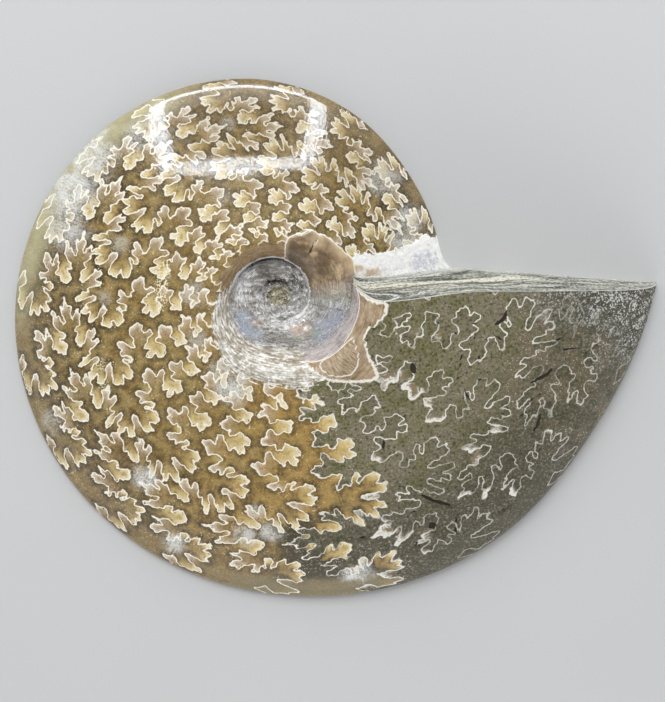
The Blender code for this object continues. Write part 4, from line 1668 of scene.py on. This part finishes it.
@dataclass
class FossilHalf:
    """The closed shell mesh, its relief and its finishes."""

    coil: Coil = field(default_factory=Coil)
    zones: Zones = field(default_factory=Zones)
    rows: int = 824  # cells along the keel of the last whorl, a multiple of 8
    band_share: float = 0.50  # the share past which the rows are closest
    keel_cells: int = 80
    flank_cells: int = 16
    wall_cells: tuple[int, int] = (9, 21)  # on the steep wall and on the shoulder
    face_cells: int = 12
    core_turns: float = 2.4
    core_bump: float = 0.0002
    sharp: float = math.radians(42.0)

    def phases(self) -> Numbers:
        """Return the last whorl's phases, an even way apart along the keel."""
        step = np.arange(self.rows + 1) / self.rows
        return np.log1p((self.coil.ratio - 1.0) * step) / self.coil.growth

    def wall_shares(self) -> Numbers:
        """Return the shares from a whorl's seam to the next whorl's."""
        steep, level = self.wall_cells
        lean = 1.0 - np.cos(0.25 * TURN * np.arange(steep) / steep)
        rest = np.linspace(self.coil.shoulder, self.coil.next_seam, level + 1)
        return np.concatenate([mix(self.coil.seam, self.coil.shoulder, lean), rest])

    def even_shares(self, start: float, end: float, cells: int) -> Numbers:
        """Return shares an even way apart over the flank's curve."""
        shares = np.linspace(start, end, 2000)
        radius, height = self.coil.section(0.5 * TURN, shares)
        length = np.concatenate([[0.0], np.cumsum(np.hypot(np.diff(radius), np.diff(height)))])
        return np.interp(np.linspace(0.0, length[-1], cells + 1), length, shares)

    def lay(self, bm: bmesh.types.BMesh, points: Numbers, layers: dict[str, Numbers], side: Side) -> None:
        """Lay a grid over rows and columns of points.

        Args:
            bm: the mesh to add it to.
            points: the points, by row and column.
            layers: numbers for the vertices, by the name of a layer.
            side: the finish of its faces.
        """
        rows, columns = points.shape[:2]
        grid = bmesh.ops.create_grid(bm, x_segments=rows - 1, y_segments=columns - 1, size=0.5)
        kept = [(bm.verts.layers.float[name], values) for name, values in layers.items()]
        for vert in grid["verts"]:
            row = round((vert.co.x + 0.5) * (rows - 1))
            column = round((vert.co.y + 0.5) * (columns - 1))
            vert.co = points[row, column]
            for layer, values in kept:
                vert[layer] = values[row, column]
        for face in {face for vert in grid["verts"] for face in vert.link_faces}:
            face.material_index = side

    def lay_band(self, bm: bmesh.types.BMesh, phases: Numbers, shares: Numbers, step: int) -> Numbers:
        """Lay one band of the shell.

        Args:
            bm: the mesh to add it to.
            phases: its rows.
            shares: its columns.
            step: how many of its rows pass to one row of the band inside it.

        Returns:
            Its points, by row and column.
        """
        points, angle = self.coil.sheet(phases, shares)
        settled = np.arange(len(phases)) // step * step
        points[:, 0], angle[:, 0] = points[settled, 0], angle[settled, 0]
        depth = np.broadcast_to((phases > 0.5 * TURN).astype(float)[:, None], angle.shape)
        share = np.broadcast_to(shares, angle.shape)
        self.lay(bm, points, {"angle": angle, "share": share, "depth": depth}, Side.FLANK)
        return points

    def lay_whorls(self, bm: bmesh.types.BMesh) -> tuple[Numbers, Numbers, Numbers]:
        """Lay the flank and the umbilical walls, with fewer rows further in.

        Args:
            bm: the mesh to add them to.

        Returns:
            The edge of the aperture face at the last whorl's start and at its end, and the shares there.
        """
        phases, wall = self.phases(), self.wall_shares()
        flank = self.even_shares(self.coil.next_seam, self.band_share, self.flank_cells)
        keel = self.even_shares(self.band_share, 1.0, self.keel_cells)
        core = phases[::8] - 3.0 * TURN
        core = core[(core >= -self.core_turns * TURN) & (core < -2.0 * TURN - 1e-9)]
        core = np.append(core, phases[::8] - 2.0 * TURN)
        self.lay_band(bm, core, wall, 1)
        self.lay_band(bm, phases[::4] - TURN, wall, 2)
        wall_points = self.lay_band(bm, phases[::2], wall, 2)
        flank_points = self.lay_band(bm, phases[::2], flank, 1)
        keel_points = self.lay_band(bm, phases, keel, 2)
        start = np.concatenate([flank_points[0], keel_points[0, 1:]])
        end = np.concatenate([wall_points[-1], flank_points[-1, 1:], keel_points[-1, 1:]])
        return start, end, np.concatenate([wall, flank[1:], keel[1:]])

    def lay_face(self, bm: bmesh.types.BMesh, start: Numbers, end: Numbers, shares: Numbers) -> None:
        """Lay the aperture face.

        Args:
            bm: the mesh to add it to.
            start: its edge on the last whorl's start.
            end: its edge on the last whorl's end.
            shares: the shares along them.
        """
        trace = np.linspace(start[-1], end[-1], len(end) - len(start) + 1)[1:]
        inner = np.concatenate([start, trace])
        depth = np.linspace(0.0, 1.0, self.face_cells + 1)[None, :]
        points = mix(inner[:, None, :], end[:, None, :], depth[:, :, None])
        begun = np.concatenate([shares[-len(start):], np.ones(len(trace))])
        share = mix(begun[:, None], shares[:, None], depth)
        layers = {"angle": depth * TURN + share * 0.0, "share": share, "depth": depth + share * 0.0}
        self.lay(bm, points, layers, Side.APERTURE)

    def close(self, bm: bmesh.types.BMesh) -> None:
        """Fill the sawn face and the hole over the first whorl.

        Args:
            bm: the mesh to close.
        """
        rims = [edge for edge in bm.edges if edge.is_boundary]
        sawn = [edge for edge in rims if max(vert.co.z for vert in edge.verts) < 1e-7]
        core = [edge for edge in rims if edge not in set(sawn)]
        base = bmesh.ops.contextual_create(bm, geom=sawn)
        plug = bmesh.ops.contextual_create(bm, geom=core)
        for faces, side in ((base, Side.SAWN), (plug, Side.FLANK)):
            for face in faces["faces"]:
                face.material_index = side
        bmesh.ops.recalc_face_normals(bm, faces=bm.faces)
        bmesh.ops.poke(bm, faces=plug["faces"], offset=self.core_bump)
        bmesh.ops.triangulate(bm, faces=[face for face in bm.faces if len(face.verts) > 4])

    def build(self) -> tuple[Mesh, Vector]:
        """Build the plain mesh.

        Returns:
            The mesh in the coil's frame, and the way from that frame to the row's.
        """
        bm = bmesh.new()
        for name in ("angle", "share", "depth"):
            bm.verts.layers.float.new(name)
        self.lay_face(bm, *self.lay_whorls(bm))
        bmesh.ops.remove_doubles(bm, verts=bm.verts, dist=2e-6)
        self.close(bm)
        mesh = bpy.data.meshes.new("ammonite_fossil")
        bm.to_mesh(mesh)
        bm.free()
        places = self.numbers(mesh.vertices, "co", 3)
        low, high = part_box(NODE)
        middle = (places.min(axis=0) + places.max(axis=0)) / 2.0
        shift = (low + high) / 2.0 - Vector(middle)
        return mesh, Vector((shift.x, shift.y, low.z - places[:, 2].min()))

    def numbers(self, items: object, name: str, width: int) -> Numbers:
        """Return a property of all items as an array."""
        kept = np.empty(len(items) * width)
        items.foreach_get(name, kept)
        return kept.reshape(-1, width) if width > 1 else kept

    def survey(self, mesh: Mesh) -> Surface:
        """Read the mesh's points, and settle the places where two whorls meet.

        Args:
            mesh: the plain mesh.

        Returns:
            Its places.
        """
        layer = {name: self.numbers(mesh.attributes[name].data, "value", 1) for name in ("angle", "share")}
        angle, share = layer["angle"], layer["share"]
        seam = (share > self.coil.next_seam - 1e-5) & (angle < -0.35)
        angle[seam] += TURN
        share[seam] = self.coil.seam
        points, normals = self.numbers(mesh.vertices, "co", 3), self.numbers(mesh.vertices, "normal", 3)
        return Surface(self.coil, points, normals, angle, share)

    def mark_lines(self, surface: Surface) -> None:
        """Keep where the sutures and the gashes run, and where white fills the sutures' fingers.

        Args:
            surface: what the sums are kept on.
        """
        sutures, zones = Sutures(self.coil), self.zones
        *lines, lead = sutures.measure(surface.points, surface.normals, surface.angle)
        surface.worn["suture"], surface.lead = tuple(lines), lead
        gash = np.maximum.reduce([slit.inside_mm(surface) for slit in zones.slits])
        gash = np.maximum(gash + 0.22 * wander(surface.points, 1.2, 27, 2), -2.0)
        cloud, fill = zones.clouds.strength(surface), zones.fills.strength(surface)
        surface.worn["marks"] = (cloud, fill, gash)

    def mark_shell(self, surface: Surface) -> None:
        """Keep where the broken shell, the crust and the calcite lie, and their brighter and darker places,
        partly painted highlight and shadow.

        Args:
            surface: what the sums are kept on.
        """
        share, degrees, worn, zones = surface.share, surface.degrees, surface.worn, self.zones
        rough = wander(surface.points, 1.3, 2, 3)
        edges = (zones.amber, zones.tan, zones.fan, zones.lining, zones.crust, zones.calcite, zones.band)
        amber, tan, fan, lining, crust, calcite, band = (edge.inside_mm(surface) for edge in edges)
        worn["shell"] = (amber, tan + 0.12 * rough, fan)
        worn["skin"] = (lining, crust + 0.5 * rough, calcite + 0.18 * rough)
        # Brighter places, partly painted highlight, less darker places and painted shadows.
        light = zones.bright.strength(surface) - zones.shaded.strength(surface)
        # Painted shadow under the seam at the top, where the edge above overhangs.
        under = smooth_step(0.412, 0.428, share) * (degrees < -20.0) + smooth_step(0.194, 0.191, share)
        under *= plateau((0.12, 0.20, 0.34, 0.42), surface.turned)
        worn["side"] = (band + 0.3 * rough, surface.lead, np.clip(light - 0.9 * under, -1.0, 1.0))

    def mark_nacre(self, surface: Surface) -> None:
        """Keep where the nacre lies, with its crumbs and its play of colour.

        Args:
            surface: what the sums are kept on.
        """
        points, share, degrees, zones = surface.points, surface.share, surface.degrees, self.zones
        rough = wander(points, 1.3, 2, 3)
        radius = np.linalg.norm(points[:, :2], axis=1) / MM
        nacre = 1.0 - smooth_step(-6.0, 24.0, degrees)
        ring = plateau((3.1, 3.7, 4.7, 5.5), radius + 0.5 * rough) * (degrees < -10.0)
        ring *= 0.45 + 0.55 * plateau((0.30, 0.42, 0.85, 0.98), surface.turned)
        seam = smooth_step(0.209, 0.192, share) * smooth_step(-90.0, -50.0, degrees)
        seam *= 1.0 - smooth_step(330.0, 350.0, degrees)
        foot = smooth_step(0.405, 0.445, share) * (degrees < -20.0)
        foot *= plateau((0.48, 0.60, 0.80, 0.92), surface.turned)
        crumbs = np.maximum.reduce([ring, zones.pale_arcs.strength(surface), 0.8 * foot])
        surface.worn["crumbs"] = (crumbs, seam, nacre)
        tints = (zones.blues, zones.warms, zones.greens)
        surface.worn["tint"] = tuple(tint.strength(surface) for tint in tints)
        surface.worn["growth"] = (surface.angle, np.log(np.maximum(share, 0.1)), radius)

    def mark_rock(self, surface: Surface) -> None:
        """Keep where the stone is rough and dusky, how the crystal's colour drifts, and where light and shade
        are painted.

        Args:
            surface: what the sums are kept on.
        """
        share, degrees, zones = surface.share, surface.degrees, self.zones
        broad = wander(surface.points, 6.0, 4, 3)
        tip = smooth_step(-5.0, 7.0, degrees - 355.5 + 3.5 * broad + 34.0 * (share - 0.80))
        keel = smooth_step(-8.0, 10.0, degrees - 352.0 + 6.0 * broad) * smooth_step(0.86, 0.97, share)
        gloom = plateau((262.0, 274.0, 296.0, 304.0), degrees + 3.0 * broad)
        gloom *= plateau((0.66, 0.76, 0.91, 0.95), share)
        tint = zones.lilac.strength(surface) - zones.rust.strength(surface)
        surface.worn["rock"] = (np.clip(np.maximum(tip, 0.7 * keel), 0.0, 1.0), gloom, tint)
        # A pale veil on the upper-left rim, partly a painted sheen, less the khaki rim at the lower left.
        veil_and_sheen = plateau((100.0, 130.0, 168.0, 196.0), degrees + 6.0 * broad) * smooth_step(0.86, 0.99, share)
        veil_and_sheen -= plateau((250.0, 268.0, 306.0, 314.0), degrees + 3.0 * broad) * smooth_step(0.90, 0.96, share)
        # Painted glints, less painted shade over the top of the whorl.
        glint_and_top_shade = zones.glints.strength(surface)
        glint_and_top_shade -= plateau((38.0, 60.0, 112.0, 132.0), degrees) * smooth_step(0.45, 0.75, share)
        surface.worn["calm"] = (zones.calms.strength(surface), veil_and_sheen, glint_and_top_shade)

    def carve(self, surface: Surface) -> Numbers:
        """Work out the low relief.

        Args:
            surface: the places and their finishes.

        Returns:
            The height above the plain mesh, in mm.
        """
        worn, points = surface.worn, surface.points
        rough, broad = wander(points, 1.1, 12, 3), wander(points, 9.0, 13, 2)
        (amber, tan, fan), (_, crust, calcite) = worn["shell"], worn["skin"]
        (crumb, seam, nacre), (tip, _, _), (_, _, gash) = worn["crumbs"], worn["rock"], worn["marks"]
        _, _, radius = worn["growth"]
        shell = np.maximum(smooth_step(-0.15, 0.3, amber), smooth_step(-0.15, 0.3, tan))
        old = (surface.angle < 0.0) * smooth_step(10.0, 4.0, radius)
        return (
            0.20 * shell + 0.10 * smooth_step(-0.1, 0.3, fan) - 0.42 * smooth_step(-0.25, 0.3, gash)
            + 0.30 * crumb * np.clip(rough + 0.2, -0.2, 1.2) + 0.34 * old * rough + 0.10 * nacre * rough
            + 0.16 * smooth_step(-0.4, 0.6, crust) * (rough + 0.4) + 0.10 * seam
            + 0.10 * smooth_step(-0.2, 0.3, calcite) * (rough + 0.5) + 0.06 * tip * rough + 0.02 * broad
        )

    def shape(self, mesh: Mesh, surface: Surface) -> None:
        """Raise the relief from the mesh, but leave the sawn face and its rim flat."""
        height = surface.points[:, 2]
        free = smooth_step(0.0, 0.6, height / MM)
        raised = surface.points + surface.normals * (self.carve(surface) * free * MM)[:, None]
        raised[:, 2] = np.where(height < 1e-6, height, np.maximum(raised[:, 2], 1e-5))
        mesh.vertices.foreach_set("co", raised.ravel())

    def face_marks(self, mesh: Mesh, surface: Surface) -> None:
        """Keep how far each point of the aperture face is from the whorl's outer edge.

        Args:
            mesh: the plain mesh.
            surface: what the sums are kept on.
        """
        depth = self.numbers(mesh.attributes["depth"].data, "value", 1)
        sides = self.numbers(mesh.polygons, "material_index", 1)
        shown = {v for face in mesh.polygons if sides[face.index] == Side.APERTURE for v in face.vertices}
        shown = np.array(sorted(shown))
        rim = shown[depth[shown] > 1.0 - 1e-4]
        away = np.zeros(len(depth))
        gap = np.linalg.norm(surface.points[shown][:, None, :] - surface.points[rim][None, :, :], axis=2)
        away[shown] = gap.min(axis=1) / MM
        surface.worn["face"] = (away, depth, surface.points[:, 0] / MM)

    def dress(self, mesh: Mesh, surface: Surface) -> None:
        """Keep the surface's numbers as attributes.

        Args:
            mesh: the mesh.
            surface: the sums.
        """
        for name, parts in surface.worn.items():
            attribute = mesh.attributes.new(name, "FLOAT_VECTOR", "POINT")
            attribute.data.foreach_set("vector", np.stack(parts, axis=-1).astype(np.float32).ravel())
        for name in ("angle", "share", "depth"):
            mesh.attributes.remove(mesh.attributes[name])

    def make(self) -> Object:
        """Make the fossil half as one object that stands for the solid.

        Returns:
            The fossil.
        """
        mesh, shift = self.build()
        surface = self.survey(mesh)
        self.mark_lines(surface)
        self.mark_shell(surface)
        self.mark_nacre(surface)
        self.mark_rock(surface)
        self.face_marks(mesh, surface)
        self.shape(mesh, surface)
        self.dress(mesh, surface)
        mesh.transform(Matrix.Translation(shift))
        mesh.shade_smooth()
        mesh.set_sharp_from_angle(angle=self.sharp)
        for finish in (PolishedFlank(), ApertureFace(), SawnFace(shift, self.coil)):
            mesh.materials.append(finish.paint())
        fossil = bpy.data.objects.new("ammonite_fossil", mesh)
        bpy.context.scene.collection.objects.link(fossil)
        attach(fossil, BODY)
        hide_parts(NODE)
        triangles = sum(len(face.vertices) - 2 for face in mesh.polygons)
        LOG.info("%s: %d triangles", fossil.name, triangles)
        return fossil


# ---- The studio ----


@dataclass(frozen=True)
class Studio:
    """The camera, the pale floor and the soft light."""

    tilt: float = math.radians(8.0)
    distance: float = 0.420
    aim: tuple[float, float] = (-0.0006, -0.0019)  # past the middle of the solid's box
    sensor: float = 36.0
    lens: float = 98.0
    floor_size: float = 1.6
    floor_drop: float = 0.00005
    fill_place: tuple[float, float, float] = (-0.10, -0.95, 0.30)
    fill_size: tuple[float, float] = (1.4, 0.35)
    fill_bright: float = 3.4
    floor_colour: Colour = (0.6, 0.595, 0.585)
    floor_shade: float = 0.94
    room_heights: tuple[float, float] = (0.45, 0.85)  # the sines of the heights between which it fades
    room_low: Colour = (0.95, 0.97, 1.0)
    room_high: Colour = (0.1, 0.105, 0.11)
    frame_middle: tuple[float, float, float] = (-0.038, 0.280, 0.286)
    frame_size: tuple[float, float] = (0.30, 0.373)
    frame_lean: float = math.radians(14.0)
    strip: float = 0.036
    strip_bright: float = 17.0
    strip_colour: Colour = (0.84, 0.91, 1.0)
    key_place: tuple[float, float, float] = (-0.15, 0.90, 0.45)
    key_size: tuple[float, float] = (0.8, 0.5)
    key_bright: float = 1.7
    sky_place: tuple[float, float, float] = (-0.030, 0.840, 0.860)
    sky_size: tuple[float, float] = (0.9, 0.5)
    sky_bright: float = 6.4
    sky_colour: Colour = (0.95, 0.97, 1.0)

    def middle(self) -> Vector:
        """Return the middle of the solid's base."""
        low, high = (Vector(corner) for corner in CAD_BOX)
        return Vector(((low.x + high.x) / 2.0, (low.y + high.y) / 2.0, low.z))

    def camera(self) -> None:
        """Look down on the fossil, leaning a little back from its top edge."""
        lens = bpy.data.cameras.new("camera")
        lens.sensor_width, lens.lens = self.sensor, self.lens
        held = bpy.data.objects.new("camera", lens)
        aim = self.middle() + Vector((*self.aim, 0.0))
        held.location = aim + Vector((0.0, math.sin(self.tilt), math.cos(self.tilt))) * self.distance
        held.rotation_euler = (-self.tilt, 0.0, 0.0)
        bpy.context.scene.collection.objects.link(held)
        bpy.context.scene.camera = held

    def floor(self) -> None:
        """Lay the pale floor just under the sawn face."""
        bm = bmesh.new()
        bmesh.ops.create_grid(bm, x_segments=1, y_segments=1, size=self.floor_size)
        bmesh.ops.translate(bm, vec=(0.0, 0.0, self.middle().z - self.floor_drop), verts=bm.verts)
        mesh = bpy.data.meshes.new("floor")
        bm.to_mesh(mesh)
        bm.free()
        p = Paint("floor")
        darker = tuple(self.floor_shade * part for part in self.floor_colour)
        colour = p.mixed(p.noise(p.place(), 18.0, 2.0), self.floor_colour, darker)
        p.set(Base_Color=colour, Roughness=0.7)
        mesh.materials.append(p.material)
        floor = bpy.data.objects.new("floor", mesh)
        bpy.context.scene.collection.objects.link(floor)

    def panel(self, name: str, place: Vector, towards: Vector, size: tuple[float, float],
              bright: float) -> Object:
        """Hang a soft rectangular light.

        Args:
            name: the light's name.
            place: its middle.
            towards: the point that it faces.
            size: its width along X and its other side.
            bright: its brightness, whatever its size.

        Returns:
            The light.
        """
        light = bpy.data.lights.new(name, "AREA")
        light.shape = "RECTANGLE"
        light.size, light.size_y = size
        light.energy = bright * math.pi * size[0] * size[1]
        held = bpy.data.objects.new(name, light)
        held.location = place
        held.rotation_euler = (towards - place).to_track_quat("-Z", "Y").to_euler()
        held.visible_camera = False
        bpy.context.scene.collection.objects.link(held)
        return held

    def room(self) -> None:
        """Surround the scene with soft light that comes from low down, with little from overhead."""
        world = bpy.data.worlds.new("soft_room")
        world.use_nodes = True
        tree = world.node_tree
        up = tree.nodes.new("ShaderNodeSeparateXYZ")
        ramp = tree.nodes.new("ShaderNodeValToRGB")
        tree.links.new(tree.nodes.new("ShaderNodeTexCoord").outputs["Generated"], up.inputs[0])
        tree.links.new(up.outputs["Z"], ramp.inputs[0])
        low, high = ramp.color_ramp.elements
        low.position, high.position = self.room_heights
        low.color, high.color = (*self.room_low, 1.0), (*self.room_high, 1.0)
        tree.links.new(ramp.outputs[0], tree.nodes["Background"].inputs["Color"])
        bpy.context.scene.world = world

    def light(self) -> None:
        """Light the fossil from beyond its top edge with a frame of strips, and softly all round."""
        self.room()
        wide, tall = self.frame_size
        middle = Vector(self.frame_middle)
        rise = Vector((0.0, -math.sin(self.frame_lean), math.cos(self.frame_lean)))
        back = Vector((0.0, -math.cos(self.frame_lean), -math.sin(self.frame_lean)))
        for name, across, up, size in (
            ("strip_top", 0.0, 0.5 * tall, (wide, self.strip)),
            ("strip_foot", 0.0, -0.5 * tall, (wide, self.strip)),
            ("strip_left", -0.5 * wide, 0.0, (self.strip, tall)),
            ("strip_right", 0.5 * wide, 0.0, (self.strip, tall)),
        ):
            place = middle + Vector((across, 0.0, 0.0)) + rise * up
            strip = self.panel(name, place, place + back, size, self.strip_bright)
            strip.data.color = self.strip_colour
            strip.visible_diffuse = False
        self.panel("key", Vector(self.key_place), self.middle(), self.key_size, self.key_bright)
        fill = self.panel("fill", Vector(self.fill_place), self.middle(), self.fill_size, self.fill_bright)
        sky = self.panel("sky", Vector(self.sky_place), self.middle(), self.sky_size, self.sky_bright)
        sky.data.color = self.sky_colour
        for panel in (fill, sky):
            panel.visible_glossy = False

    def set_up(self) -> None:
        """Set up the whole studio."""
        self.camera()
        self.floor()
        self.light()
        bpy.context.scene.view_settings.view_transform = "Standard"


def main() -> None:
    """Make the fossil half and its studio."""
    logging.basicConfig(level=logging.INFO, format="%(name)s: %(message)s")
    Studio().set_up()
    FossilHalf().make()


if __name__ == "__main__":
    main()
